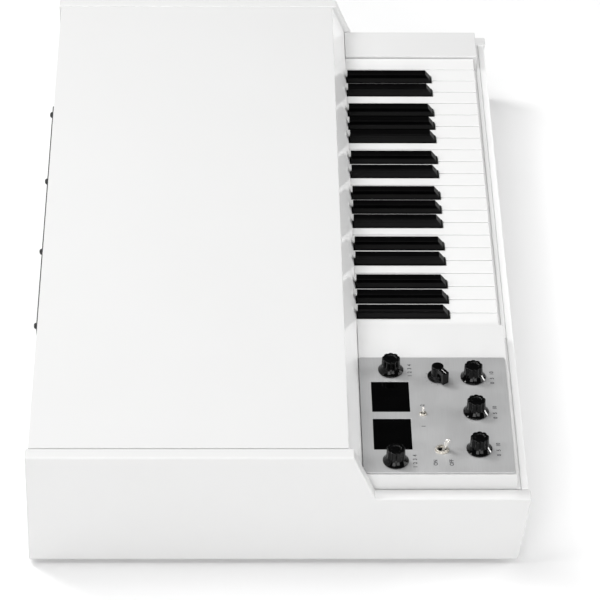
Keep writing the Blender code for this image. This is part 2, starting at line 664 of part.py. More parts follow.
def build_black_keys(action):
    """The black keys: a tapered cap with a sloping front, and a low tail under the fallboard."""
    front_y = KEY_LINE_Y - BLACK_LENGTH
    top_z = WHITE_TOP_Z + BLACK_HEIGHT
    rear_y = KEY_LINE_Y - BLACK_REAR_GAP
    tail_z = WHITE_TOP_Z - BLACK_TAIL_DROP
    front = [
        (front_y, KEY_UNDER_Z), (front_y, WHITE_TOP_Z + BLACK_LIP_HEIGHT),
        (front_y + BLACK_LIP_DEPTH, WHITE_TOP_Z + BLACK_LIP_HEIGHT),
        (front_y + BLACK_LIP_DEPTH + BLACK_SLOPE_RUN, top_z), (rear_y, top_z), (rear_y, tail_z),
    ]
    outline = key_outline(front, front_y)[:-1]
    half = BLACK_BASE_WIDTH / 2
    mesh = profile_mesh("black_key", outline, -half, half)
    taper = (BLACK_BASE_WIDTH - BLACK_TOP_WIDTH) / BLACK_BASE_WIDTH / BLACK_HEIGHT
    for vertex in mesh.vertices:
        vertex.co.x *= 1.0 - taper * max(0.0, vertex.co.z - WHITE_TOP_Z)
    mesh.transform(Matrix.Translation((0.0, -PIVOT_Y, -PIVOT_Z)))
    count = 0
    for number in range(1, WHITE_COUNT):
        if has_black_key(number):
            count += 1
            pivot = (black_key_x(number), PIVOT_Y, PIVOT_Z)
            place_object(f"black_key_{count:02d}", mesh, BLACK_KEY, pivot, action)


def build_key_chassis():
    """The steel frame that carries the keys: legs, deck, guide rail, post and pivot rod."""
    front_y = KEY_LINE_Y - CHASSIS_FRONT_REACH
    rear_y = PIVOT_Y + CHASSIS_TAIL
    guide_y = KEY_LINE_Y - GUIDE_REACH
    under_z = DECK_Z - CHASSIS_SHEET
    dip_at_guide = (PIVOT_Y - guide_y) * math.sin(DIP_ANGLE)
    guide_z = KEY_UNDER_Z - dip_at_guide - GUIDE_CLEARANCE
    post_low_y = PIVOT_Y - CHASSIS_POST / 2
    post_high_y = PIVOT_Y + CHASSIS_POST / 2
    outline = [
        (front_y, FLOOR_Z), (front_y, DECK_Z), (guide_y, DECK_Z), (guide_y, guide_z),
        (guide_y + CHASSIS_SHEET, guide_z), (guide_y + CHASSIS_SHEET, DECK_Z), (post_low_y, DECK_Z),
        (post_low_y, PIVOT_Z), (post_high_y, PIVOT_Z), (post_high_y, DECK_Z), (rear_y, DECK_Z),
        (rear_y, FLOOR_Z), (rear_y - CHASSIS_SHEET, FLOOR_Z), (rear_y - CHASSIS_SHEET, under_z),
        (front_y + CHASSIS_SHEET, under_z), (front_y + CHASSIS_SHEET, FLOOR_Z),
    ]
    low_x = KEYS_LEFT_X + KEY_GAP
    high_x = KEYS_RIGHT_X - KEY_GAP
    mesh = profile_mesh("key_chassis", outline, low_x, high_x)
    chassis = add_object("key_chassis", mesh, SHEET_STEEL, (0.0, PIVOT_Y, FLOOR_Z))
    rod = cylinder_mesh("pivot_rod", PIVOT_RADIUS, (low_x, PIVOT_Y, PIVOT_Z), (high_x, PIVOT_Y, PIVOT_Z), 12)
    join(chassis, add_cutter("pivot_rod", rod))


# Controls

def plate_place(offset, height_z):
    """A point over the control plate, from its bass front corner."""
    return (PLATE_LEFT_X + offset[0], PLATE_FRONT_Y + offset[1], height_z)


def build_control_plate():
    """The aluminium plate with its windows, pots and switch bodies."""
    low = (PLATE_LEFT_X, PLATE_FRONT_Y, PLATE_UNDER_Z)
    high = (PLATE_RIGHT_X, PLATE_REAR_Y, PLATE_TOP_Z)
    mesh = box_mesh("control_plate", low, high)
    plate = add_object("control_plate", mesh, SATIN_ALUMINIUM, (PLATE_LEFT_X, PLATE_FRONT_Y, PLATE_TOP_Z))
    for number, centre in enumerate(DISPLAY_CENTRES, 1):
        x, y, z = plate_place(centre, PLATE_TOP_Z)
        half_x = DISPLAY_LENGTH / 2 + GAP
        half_y = DISPLAY_WIDTH / 2 + GAP
        name = f"display_window_{number}"
        low = (x - half_x, y - half_y, z - 2 * PLATE_THICKNESS)
        high = (x + half_x, y + half_y, z + PLATE_THICKNESS)
        cut(plate, add_cutter(name, box_mesh(name, low, high)))
    for name, offset in (*KNOBS.items(), ("mix", MIX_KNOB)):
        x, y, z = plate_place(offset, PLATE_TOP_Z)
        foot = (x, y, PLATE_UNDER_Z - POT_DEPTH)
        seat = (x, y, PLATE_UNDER_Z + PLATE_THICKNESS / 2)
        join(plate, add_cutter(name + "_pot", cylinder_mesh(name + "_pot", POT_RADIUS, foot, seat)))
        radius = SHAFT_RADIUS + SHAFT_CLEARANCE
        foot = (x, y, z - SHAFT_DEPTH - GAP)
        head = (x, y, z + PLATE_THICKNESS)
        cut(plate, add_cutter(name + "_bore", cylinder_mesh(name + "_bore", radius, foot, head)))
    add_switch_body(plate, "power_switch", POWER_TOGGLE, POWER_SWITCH)
    add_switch_body(plate, "range_switch", RANGE_TOGGLE, RANGE_SWITCH)


def add_switch_body(plate, name, offset, switch):
    """Join a toggle switch's bushing and body to the plate, and hollow them for the lever."""
    x, y, z = plate_place(offset, PLATE_TOP_Z)
    chamber_z = z - switch["depth"] - switch["ball"] - SHAFT_CLEARANCE
    half = switch["body"] / 2
    seat_z = z - PLATE_THICKNESS / 2
    low = (x - half, y - half, chamber_z - SWITCH_FLOOR)
    high = (x + half, y + half, seat_z)
    join(plate, add_cutter(name + "_body", box_mesh(name + "_body", low, high)))
    nut = cylinder_mesh(name + "_nut", switch["bushing"], (x, y, seat_z), (x, y, z + switch["height"]))
    join(plate, add_cutter(name + "_nut", nut))
    foot = (x, y, z - SWITCH_MOUTH_DEPTH)
    head = (x, y, z + 2 * switch["height"])
    cut(plate, add_cutter(name + "_mouth", cylinder_mesh(name + "_mouth", switch["mouth"], foot, head)))
    chamber = cylinder_mesh(name + "_chamber", switch["ball"] + SHAFT_CLEARANCE, (x, y, chamber_z), (x, y, z))
    cut(plate, add_cutter(name + "_chamber", chamber))


def build_display_board():
    """The board under the plate whose two dark displays fill the plate's windows."""
    glass_top_z = PLATE_TOP_Z - DISPLAY_RECESS
    board_top_z = PLATE_UNDER_Z - DISPLAY_DEPTH
    half_x = DISPLAY_LENGTH / 2
    half_y = DISPLAY_WIDTH / 2
    corners = [plate_place(centre, glass_top_z) for centre in DISPLAY_CENTRES]
    low_x = min(x for x, _, _ in corners) - half_x - DISPLAY_BOARD_MARGIN
    high_x = max(x for x, _, _ in corners) + half_x + DISPLAY_BOARD_MARGIN
    low_y = min(y for _, y, _ in corners) - half_y - DISPLAY_BOARD_MARGIN
    high_y = max(y for _, y, _ in corners) + half_y + DISPLAY_BOARD_MARGIN
    under_z = board_top_z - DISPLAY_BOARD_THICKNESS
    mesh = box_mesh("display_board", (low_x, low_y, under_z), (high_x, high_y, board_top_z))
    board = add_object("display_board", mesh, KNOB_PLASTIC, (low_x, low_y, board_top_z))
    for number, (x, y, z) in enumerate(corners, 1):
        name = f"display_glass_{number}"
        seat_z = (under_z + board_top_z) / 2
        glass = box_mesh(name, (x - half_x, y - half_y, seat_z), (x + half_x, y + half_y, z))
        join(board, add_cutter(name, glass))


def shaft_profile(radius):
    """The rest of a knob's outline, from its outer edge at its foot, down the shaft to its end."""
    return [
        (radius, KNOB_LIFT), (SHAFT_RADIUS, KNOB_LIFT), (SHAFT_RADIUS, -SHAFT_DEPTH), (0.0, -SHAFT_DEPTH),
    ]


def build_knobs():
    """Five round knobs and the mix knob with its pointer bar, each with its origin on its axis."""
    skirted = [
        (0.0, KNOB_HEIGHT), (GRIP_TOP_RADIUS, KNOB_HEIGHT), (GRIP_RADIUS, KNOB_LIFT + SKIRT_RISE),
        (SKIRT_RADIUS, KNOB_LIFT + SKIRT_RIM),
    ]
    for name, offset in KNOBS.items():
        origin = plate_place(offset, PLATE_TOP_Z)
        turned_object(name + "_knob", skirted + shaft_profile(SKIRT_RADIUS), KNOB_PLASTIC, origin)
    flanged = [
        (0.0, MIX_HEIGHT), (MIX_CORE_RADIUS, MIX_HEIGHT), (MIX_CORE_RADIUS, KNOB_LIFT + MIX_FLANGE_RIM),
        (MIX_FLANGE_RADIUS, KNOB_LIFT + MIX_FLANGE_RIM),
    ]
    origin = plate_place(MIX_KNOB, PLATE_TOP_Z)
    knob = turned_object("mix_knob", flanged + shaft_profile(MIX_FLANGE_RADIUS), KNOB_PLASTIC, origin)
    half = BAR_WIDTH / 2
    bar = box_mesh("mix_bar", (0.0, -half, KNOB_LIFT + GAP), (BAR_LENGTH, half, MIX_HEIGHT - BAR_DROP))
    guide = add_cutter("mix_bar", bar)
    guide.location = origin
    guide.rotation_euler = (0.0, 0.0, BAR_ANGLE)
    join(knob, guide)


def build_toggle(name, offset, switch, lean_axis):
    """A toggle lever on its ball, leaning to its resting side; the origin is the ball's centre."""
    x, y, z = plate_place(offset, PLATE_TOP_Z - switch["depth"])
    neck_angle = math.acos(switch["lever"] / switch["ball"])
    tip = switch["tip"]
    profile = [
        (0.0, switch["length"]), (tip * 0.7, switch["length"] - tip * 0.25), (tip, switch["length"] - tip),
        (tip * 0.95, switch["length"] - 2 * tip),
    ] + ball_arc(switch["ball"], neck_angle, 5)
    lever = turned_object(name, profile, CHROME, (x, y, z), 12)
    lever.rotation_euler = [switch["lean"] * part for part in lean_axis]


def build_controls():
    """Everything on the control plate."""
    build_control_plate()
    build_display_board()
    build_knobs()
    build_toggle("power_toggle", POWER_TOGGLE, POWER_SWITCH, (1.0, 0.0, 0.0))
    build_toggle("range_toggle", RANGE_TOGGLE, RANGE_SWITCH, (0.0, 1.0, 0.0))


def build_main_board():
    """The circuit board on its four standoffs, behind the keys."""
    rear_y = PANEL_REAR_Y - REAR_PANEL_THICKNESS - BOARD_REAR_GAP
    low = Vector((BOARD_PLACE_X - BOARD_LENGTH / 2, rear_y - BOARD_WIDTH, FLOOR_Z + BOARD_STANDOFF))
    high = Vector((BOARD_PLACE_X + BOARD_LENGTH / 2, rear_y, FLOOR_Z + BOARD_STANDOFF + BOARD_THICKNESS))
    middle = (low + high) / 2
    board = add_object("main_board", box_mesh("main_board", low, high), CIRCUIT_BOARD, tuple(middle))
    mid_z = middle.z
    for end, x in enumerate((low.x + STANDOFF_INSET, high.x - STANDOFF_INSET)):
        for side, y in enumerate((low.y + STANDOFF_INSET, high.y - STANDOFF_INSET)):
            name = f"standoff_{end}_{side}"
            post = cylinder_mesh(name, STANDOFF_RADIUS, (x, y, FLOOR_Z), (x, y, mid_z), 10)
            join(board, add_cutter(name, post))
    for number, (length, width, height, right, back) in enumerate(CHIP_SIZES, 1):
        centre = Vector((middle.x + right, middle.y + back, mid_z))
        name = f"component_{number}"
        half = Vector((length / 2, width / 2, 0.0))
        part = box_mesh(name, centre - half, centre + half + Vector((0.0, 0.0, height)))
        join(board, add_cutter(name, part))


def main():
    """Build the whole instrument."""
    build_cheek("left_cheek", LEFT_X)
    build_cheek("right_cheek", INNER_RIGHT_X)
    build_lid()
    build_fallboard()
    build_front_panel()
    build_key_slip()
    build_rear_panel()
    build_bottom_panel()
    build_blocks()
    build_connector_plate()
    build_main_board()
    action = add_empty("keyboard_action", (0.0, PIVOT_Y, PIVOT_Z))
    build_key_chassis()
    build_white_keys(action)
    build_black_keys(action)
    build_controls()


main()
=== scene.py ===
"""Looks of a sample playback keyboard: lacquer, keys, control plate, sockets, camera and studio light.

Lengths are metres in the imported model's frame: +X to the treble side, -Y to the player, +Z up.
"""
import logging
import math
from dataclasses import dataclass, field, replace
from enum import Enum

import bmesh
import bpy
from bmesh.types import BMesh, BMVert
from bpy.types import ID, Material, Mesh, Node, NodeSocket, NodeTree, Object
from mathutils import Matrix, Vector


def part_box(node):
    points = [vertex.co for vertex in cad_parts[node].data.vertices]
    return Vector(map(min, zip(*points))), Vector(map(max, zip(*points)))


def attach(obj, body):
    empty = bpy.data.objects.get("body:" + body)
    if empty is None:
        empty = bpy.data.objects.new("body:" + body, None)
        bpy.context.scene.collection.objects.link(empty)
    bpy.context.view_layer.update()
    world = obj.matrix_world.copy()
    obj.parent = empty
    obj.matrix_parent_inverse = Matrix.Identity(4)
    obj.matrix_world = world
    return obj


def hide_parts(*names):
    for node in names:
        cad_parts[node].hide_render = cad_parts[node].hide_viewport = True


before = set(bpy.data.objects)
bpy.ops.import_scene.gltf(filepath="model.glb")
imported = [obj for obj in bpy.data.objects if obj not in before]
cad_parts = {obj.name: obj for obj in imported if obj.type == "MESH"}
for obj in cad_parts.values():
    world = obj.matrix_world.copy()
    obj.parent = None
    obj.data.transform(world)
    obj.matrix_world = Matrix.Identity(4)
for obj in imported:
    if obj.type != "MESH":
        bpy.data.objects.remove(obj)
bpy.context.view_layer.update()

LOG = logging.getLogger("keyboard")
CABINET = "cabinet"

Point = tuple[float, float, float]
Flat = tuple[float, float]
Outline = list[Flat]


class Side(Enum):
    """The two ends of the instrument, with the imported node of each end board."""

    BASS = "left_cheek"
    TREBLE = "right_cheek"


# Node trees and finishes

class Wiring:
    """A node tree, with one way to add a node and to set or link its inputs."""

    tree: NodeTree

    def node(self, kind: str, mode: str = "", **inputs: object) -> Node:
        """Add a node.

        Args:
            kind: The node's type name.
            mode: Its operation, where it has one.
            **inputs: Values or sockets, by input name with underscores for spaces, or i0, i1 by place.

        Returns:
            The new node.
        """
        made = self.tree.nodes.new(kind)
        if mode:
            made.operation = mode
        for name, value in inputs.items():
            by_place = name[0] == "i" and name[1:].isdigit()
            socket = made.inputs[int(name[1:]) if by_place else name.replace("_", " ")]
            if isinstance(value, NodeSocket):
                self.tree.links.new(value, socket)
            else:
                socket.default_value = value
        return made

    def out(self, kind: str, mode: str = "", **inputs: object) -> NodeSocket:
        """Add a node and return its first output."""
        return self.node(kind, mode, **inputs).outputs[0]

    def math(self, mode: str, one: object, two: object = 0.0) -> NodeSocket:
        """Return the result of one step of arithmetic on two values."""
        return self.out("ShaderNodeMath", mode, i0=one, i1=two)

    def xyz(self, x: object = 0.0, y: object = 0.0, z: object = 0.0) -> NodeSocket:
        """Return a vector of three values."""
        return self.out("ShaderNodeCombineXYZ", i0=x, i1=y, i2=z)


class Palette(Wiring):
    """Adds nodes to one material, beside its Principled shader."""

    NOISE_SPREAD = (0.3, 0.7)

    def __init__(self, name: str) -> None:
        """Start an empty material.

        Args:
            name: The material's name.
        """
        self.material = bpy.data.materials.new(name)
        self.material.use_nodes = True
        self.tree = self.material.node_tree
        self.shader = self.tree.nodes["Principled BSDF"]
        self.place = self.node("ShaderNodeTexCoord").outputs["Object"]
        self.relief = None

    def cloud(self, grain: float, detail: float = 3.0,
              stretch: Point = (1.0, 1.0, 1.0)) -> NodeSocket:
        """Return a noise from 0 to 1 with patches of a given size, drawn out where the stretch is below 1."""
        vector = self.node("ShaderNodeMapping", Vector=self.place, Scale=stretch).outputs["Vector"]
        return self.node("ShaderNodeTexNoise", Vector=vector, Scale=1.0 / grain, Detail=detail).outputs["Fac"]

    def ranged(self, value: NodeSocket, low: float, high: float) -> NodeSocket:
        """Spread a noise's middle over a range.

        Args:
            value: The noise's factor.
            low: The result where the noise is at the spread's lower end or less.
            high: The result where it is at the upper end or more.

        Returns:
            The ranged value.
        """
        start, end = self.NOISE_SPREAD
        node = self.node("ShaderNodeMapRange", Value=value, From_Min=start, From_Max=end, To_Min=low, To_Max=high)
        node.interpolation_type = "SMOOTHERSTEP"
        return node.outputs["Result"]

    def blended(self, factor: NodeSocket, one: Point, two: Point) -> NodeSocket:
        """Mix two colours.

        Args:
            factor: 0 for the first colour, 1 for the second.
            one: The first colour, linear.
            two: The second colour, linear.

        Returns:
            The mixed colour.
        """
        mix = self.node("ShaderNodeMix", i0=factor, i6=(*one, 1.0), i7=(*two, 1.0))
        mix.data_type = "RGBA"
        return mix.outputs[2]

    def raise_by(self, height: NodeSocket, distance: float) -> None:
        """Lay a relief over the ones before it.

        Args:
            height: The relief's height, from 0 to 1.
            distance: What 1 is in metres.
        """
        bump = self.node("ShaderNodeBump", Height=height, Distance=distance, Strength=1.0)
        if self.relief is not None:
            self.tree.links.new(self.relief, bump.inputs["Normal"])
        self.relief = bump.outputs["Normal"]
        self.tree.links.new(self.relief, self.shader.inputs["Normal"])

    def feed(self, value: NodeSocket, name: str) -> None:
        """Link a value to one of the shader's inputs."""
        self.tree.links.new(value, self.shader.inputs[name])


@dataclass(frozen=True)
class Grain:
    """A fine relief: the size of its grain, its height and how it is drawn out."""

    size: float
    height: float
    stretch: Point = (1.0, 1.0, 1.0)
    detail: float = 2.0


@dataclass(frozen=True)
class Finish:
    """A surface with slow changes of tone, smudges in its gloss and fine reliefs."""

    name: str
    color: Point
    other: Point
    patch: float = 0.05
    gloss: tuple[float, float] = (0.2, 0.3)
    smudge: float = 0.03
    grains: tuple[Grain, ...] = ()
    metallic: float = 0.0
    specular: float = 0.5

    def material(self) -> Material:
        """Return the finish's material, which is made on its first use."""
        return bpy.data.materials.get(self.name + "_finish") or self.mixed()

    def mixed(self) -> Material:
        """Build the material.

        Returns:
            The new material.
        """
        palette = Palette(self.name + "_finish")
        shader = palette.shader
        shader.inputs["Metallic"].default_value = self.metallic
        shader.inputs["Specular IOR Level"].default_value = self.specular
        palette.material.diffuse_color = (*self.color, 1.0)
        palette.feed(self.tone(palette), "Base Color")
        palette.feed(palette.ranged(palette.cloud(self.smudge, 4.0), *self.gloss), "Roughness")
        for grain in self.grains:
            palette.raise_by(palette.cloud(grain.size, grain.detail, grain.stretch), grain.height)
        return palette.material

    def tone(self, palette: Palette) -> NodeSocket:
        """Return the colour over the surface, which drifts between two close tones."""
        drift = palette.ranged(palette.cloud(self.patch), 0.0, 1.0)
        return palette.blended(drift, self.color, self.other)


@dataclass(frozen=True)
class MillMetal(Finish):
    """A metal whose rolling or brushing marks also lighten and darken it in fine lines."""

    lines: float = 0.0006
    along: Point = (0.02, 1.0, 1.0)
    line_depth: float = 0.5

    def tone(self, palette: Palette) -> NodeSocket:
        """Return the colour over the surface, lightened and darkened along the lines."""
        lines = palette.ranged(palette.cloud(self.lines, 2.0, self.along), 0.0, self.line_depth)
        return palette.blended(lines, self.color, self.other)


@dataclass(frozen=True)
class SolderMask(Finish):
    """A circuit board: dark mask with raised tracks and bright pads on a grid."""

    pitch: float = 0.0025
    scatter: float = 0.15
    pad_edge: tuple[float, float] = (0.24, 0.20)
    track_run: float = 8.0
    track_height: float = 0.00004

    def tone(self, palette: Palette) -> NodeSocket:
        """Lay out pads and tracks.

        Args:
            palette: The material's palette.

        Returns:
            The mask's colour with its pads.
        """
        cells = palette.node("ShaderNodeTexVoronoi", Vector=palette.place, Scale=1.0 / self.pitch,
                             Randomness=self.scatter).outputs["Distance"]
        pads = palette.node("ShaderNodeMapRange", Value=cells, From_Min=self.pad_edge[0], From_Max=self.pad_edge[1])
        tracks = palette.node("ShaderNodeTexBrick", Vector=palette.place, Scale=1.0 / self.pitch / self.track_run)
        palette.raise_by(tracks.outputs["Fac"], self.track_height)
        return palette.blended(pads.outputs["Result"], self.color, self.other)


RIPPLE = Grain(0.012, 0.000003, detail=0.0)
LACQUER = Finish("white_lacquer", (0.708, 0.708, 0.705), (0.712, 0.712, 0.710), patch=0.14, gloss=(0.31, 0.35),
                 smudge=0.06, grains=(RIPPLE, Grain(0.0005, 0.0000002)))
# The fallboard's lacquer: its high gloss is its own, but its colour, far lighter than the case's lacquer, is painted
# light for a face turned away from the key lamp.
GLOSS_LACQUER_PAINTED_LIGHT = Finish("gloss_lacquer_painted_light", (0.950, 0.950, 0.947), (0.956, 0.956, 0.954), patch=0.14,
                          gloss=(0.09, 0.13), smudge=0.05, grains=(Grain(0.006, 0.000004, detail=1.0),), specular=0.25)
# The case's white lacquer made lighter: painted light on the front panel, key slip and slot ledges, against the shade
# of the keys.
PAINTED_LIGHT_LACQUER = replace(LACQUER, name="painted_light_lacquer", color=(0.905, 0.905, 0.902), other=(0.911, 0.911, 0.909))
WHITE_KEY = Finish("white_key_plastic", (0.792, 0.792, 0.788), (0.800, 0.800, 0.797), patch=0.03, gloss=(0.12, 0.18),
                   smudge=0.012, grains=(Grain(0.0008, 0.0000015, (1.0, 0.06, 1.0)), Grain(0.006, 0.000005)))
BLACK_KEY = Finish("black_key_plastic", (0.0010, 0.0010, 0.0011), (0.0016, 0.0016, 0.0017), patch=0.02,
                   gloss=(0.06, 0.12), smudge=0.010, grains=(Grain(0.0006, 0.000002, (1.0, 0.08, 1.0)),), specular=0.14)
KNOB_BLACK = Finish("knob_plastic", (0.0010, 0.0010, 0.0011), (0.0016, 0.0016, 0.0017), patch=0.006,
                    gloss=(0.05, 0.10), smudge=0.004, grains=(Grain(0.0016, 0.000002),), specular=0.20)
DISPLAY = Finish("display_black", (0.0008, 0.0008, 0.0009), (0.0011, 0.0011, 0.0012), patch=0.02, gloss=(0.05, 0.09),
                 smudge=0.02, grains=(Grain(0.02, 0.000004),), specular=0.12)
ALUMINIUM = MillMetal("satin_aluminium", (0.500, 0.502, 0.504), (0.550, 0.552, 0.554), gloss=(0.42, 0.50),
                      smudge=0.03, grains=(Grain(0.0004, 0.000004, (0.2, 1.0, 1.0)),), metallic=0.45)
FRAME_METAL = MillMetal("frame_aluminium", (0.52, 0.52, 0.53), (0.60, 0.60, 0.61), gloss=(0.34, 0.46),
                        grains=(Grain(0.0008, 0.00001, (0.1, 1.0, 1.0)),), metallic=1.0)
CHROME = Finish("chrome", (0.78, 0.76, 0.72), (0.84, 0.82, 0.78), patch=0.004, gloss=(0.10, 0.18), smudge=0.003,
                grains=(Grain(0.002, 0.000004),), metallic=0.55)
NICKEL = Finish("nickel", (0.66, 0.63, 0.57), (0.74, 0.71, 0.65), patch=0.003, gloss=(0.22, 0.34), smudge=0.003,
                grains=(Grain(0.0008, 0.000004),), metallic=0.6)
BLACK_STEEL = Finish("sheet_steel", (0.016, 0.016, 0.017), (0.022, 0.022, 0.023), gloss=(0.42, 0.56), smudge=0.02,
                     grains=(Grain(0.0007, 0.00003), Grain(0.004, 0.00002)))
SOCKET_BLACK = Finish("socket_plastic", (0.010, 0.010, 0.010), (0.014, 0.014, 0.014), patch=0.008, gloss=(0.38, 0.5),
                      smudge=0.006, grains=(Grain(0.0004, 0.00001),))
RUBBER = Finish("foot_rubber", (0.013, 0.013, 0.013), (0.020, 0.019, 0.018), patch=0.006, gloss=(0.66, 0.82),
                smudge=0.005, grains=(Grain(0.0006, 0.00003), Grain(0.003, 0.00004)))
UNDERSIDE = Finish("underside_paint", (0.70, 0.70, 0.69), (0.76, 0.76, 0.75), patch=0.05, gloss=(0.50, 0.64),
                   smudge=0.03, grains=(Grain(0.0012, 0.00003, (0.3, 1.0, 1.0)),))
CIRCUIT = SolderMask("circuit_board", (0.010, 0.030, 0.020), (0.42, 0.38, 0.30), gloss=(0.28, 0.40))
DARK_INK = Finish("dark_ink", (0.055, 0.055, 0.060), (0.075, 0.075, 0.080), patch=0.002, gloss=(0.5, 0.6),
                  smudge=0.002, grains=(Grain(0.0003, 0.000004),))
WHITE_INK = Finish("white_ink", (0.86, 0.86, 0.85), (0.92, 0.92, 0.91), patch=0.002, gloss=(0.4, 0.5), smudge=0.002,
                   grains=(Grain(0.0003, 0.000004),))


# Making meshes and pieces

class Shop:
    """Makes meshes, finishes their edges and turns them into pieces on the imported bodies."""

    SAME_POINT = 1e-6
    ON_AXIS = 1e-7
    SMOOTH_BELOW = math.radians(35.0)
    ROUNDED_ABOVE = math.radians(30.0)
    FLAT_BELOW = math.radians(0.5)
    STRAIGHT_ABOVE = math.radians(89.0)
    SIDE_SHARE = 0.45
    BEVEL_RINGS = 2
    AREA_WEIGHT = 100
    INK_HALF = 0.00001
    INK_SPREAD = 0.00016

    @staticmethod
    def link(name: str, data: ID | None) -> Object:
        """Return a new object of that name in the scene."""
        thing = bpy.data.objects.new(name, data)
        bpy.context.scene.collection.objects.link(thing)
        return thing

    @staticmethod
    def frozen(thing: Object) -> Mesh:
        """Turn an object with its modifiers into a plain mesh.

        Args:
            thing: The object, which is removed.

        Returns:
            The mesh as its modifiers left it.
        """
        bpy.context.view_layer.update()
        graph = bpy.context.evaluated_depsgraph_get()
        mesh = bpy.data.meshes.new_from_object(thing.evaluated_get(graph), preserve_all_data_layers=True,
                                               depsgraph=graph)
        bpy.data.objects.remove(thing)
        return mesh

    @staticmethod
    def packed(name: str, shells: BMesh) -> Mesh:
        """Merge a mesh's doubles and point its faces outwards.

        Args:
            name: The mesh's name.
            shells: The closed shells, which are freed.

        Returns:
            The mesh, smooth but for its sharp edges.
        """
        bmesh.ops.remove_doubles(shells, verts=shells.verts, dist=Shop.SAME_POINT)
        bmesh.ops.recalc_face_normals(shells, faces=shells.faces)
        mesh = bpy.data.meshes.new(name)
        shells.to_mesh(mesh)
        shells.free()
        mesh.shade_smooth()
        mesh.set_sharp_from_angle(angle=Shop.SMOOTH_BELOW)
        return mesh

    @staticmethod
    def eased(mesh: Mesh, radius: float, segments: int = 3) -> Mesh:
        """Round a mesh's sharp edges.

        Args:
            mesh: The mesh.
            radius: The rounding's width.
            segments: How many faces it has across.

        Returns:
            The rounded mesh, with its flat faces shaded flat.
        """
        mesh.shade_smooth()
        thing = Shop.link("eased", mesh)
        edge = thing.modifiers.new("edge", "BEVEL")
        edge.width = radius
        edge.segments = segments
        edge.limit_method = "ANGLE"
        edge.angle_limit = Shop.ROUNDED_ABOVE
        edge.harden_normals = True
        return Shop.frozen(thing)

    @staticmethod
    def traced(node: str, radius: float) -> Mesh:
        """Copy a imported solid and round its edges.

        Args:
            node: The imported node.
            radius: The rounding's width.

        Returns:
            The rounded copy.
        """
        shells = bmesh.new()
        shells.from_mesh(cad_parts[node].data)
        bmesh.ops.remove_doubles(shells, verts=shells.verts, dist=Shop.SAME_POINT)
        bmesh.ops.dissolve_limit(shells, angle_limit=Shop.FLAT_BELOW, verts=shells.verts, edges=shells.edges)
        return Shop.eased(Shop.packed(node, shells), radius)

    @staticmethod
    def filleted(outline: Outline, radius: float, steps: int = 4, closed: bool = True) -> Outline:
        """Round an outline's corners.

        Args:
            outline: The corners, in order.
            radius: The rounding, which short sides make smaller.
            steps: Points on each corner, less one.
            closed: False for a line whose two ends stay.

        Returns:
            The rounded outline.
        """
        rounded: Outline = []
        count = len(outline)
        for i, corner in enumerate(outline):
            if not closed and i in (0, count - 1):
                rounded.append(corner)
                continue
            here = Vector(corner)
            before = Vector(outline[i - 1]) - here
            after = Vector(outline[(i + 1) % count]) - here
            half = before.angle(after) / 2
            if half > Shop.STRAIGHT_ABOVE:
                rounded.append(corner)
                continue
            reach = min(radius / math.tan(half), before.length * Shop.SIDE_SHARE, after.length * Shop.SIDE_SHARE)
            start = here + before.normalized() * reach
            end = here + after.normalized() * reach
            for step in range(steps + 1):
                t = step / steps
                weight = 2.0 * t * (1.0 - t) * math.sin(half)
                curved = start * (1.0 - t) ** 2 + here * weight + end * t ** 2
                rounded.append(tuple(curved / ((1.0 - t) ** 2 + weight + t ** 2)))
        return rounded

    @staticmethod
    def ring(radius: float, steps: int, centre: Flat = (0.0, 0.0)) -> Outline:
        """Return the corners of a regular outline round a centre."""
        turns = [math.tau * i / steps for i in range(steps)]
        return [(centre[0] + radius * math.cos(a), centre[1] + radius * math.sin(a)) for a in turns]

    @staticmethod
    def oblong(low: Flat, high: Flat) -> Outline:
        """Return the four corners of an upright rectangle."""
        return [low, (high[0], low[1]), high, (low[0], high[1])]

    @staticmethod
    def joined(shells: BMesh, rings: list[list[BMVert]]) -> None:
        """Join each ring of points to the next with faces.

        Args:
            shells: The mesh that holds the points.
            rings: Rings of one length, or of a single point at a closed end.
        """
        steps = max(len(ring) for ring in rings)
        for one, two in zip(rings, rings[1:]):
            for i in range(steps):
                j = (i + 1) % steps
                corners = [one[i % len(one)], one[j % len(one)], two[j % len(two)], two[i % len(two)]]
                kept = list(dict.fromkeys(corners))
                if len(kept) > 2:
                    shells.faces.new(kept)

    @staticmethod
    def turned(name: str, profile: Outline, steps: int) -> Mesh:
        """Turn a profile round the Z axis.

        Args:
            name: The mesh's name.
            profile: Radius and height of each point, from axis to axis.
            steps: Faces round the axis.

        Returns:
            The closed mesh.
        """
        shells = bmesh.new()
        rings = []
        for radius, height in profile:
            flat = Shop.ring(radius, 1 if radius < Shop.ON_AXIS else steps)
            rings.append([shells.verts.new((x, y, height)) for x, y in flat])
        Shop.joined(shells, rings)
        return Shop.packed(name, shells)

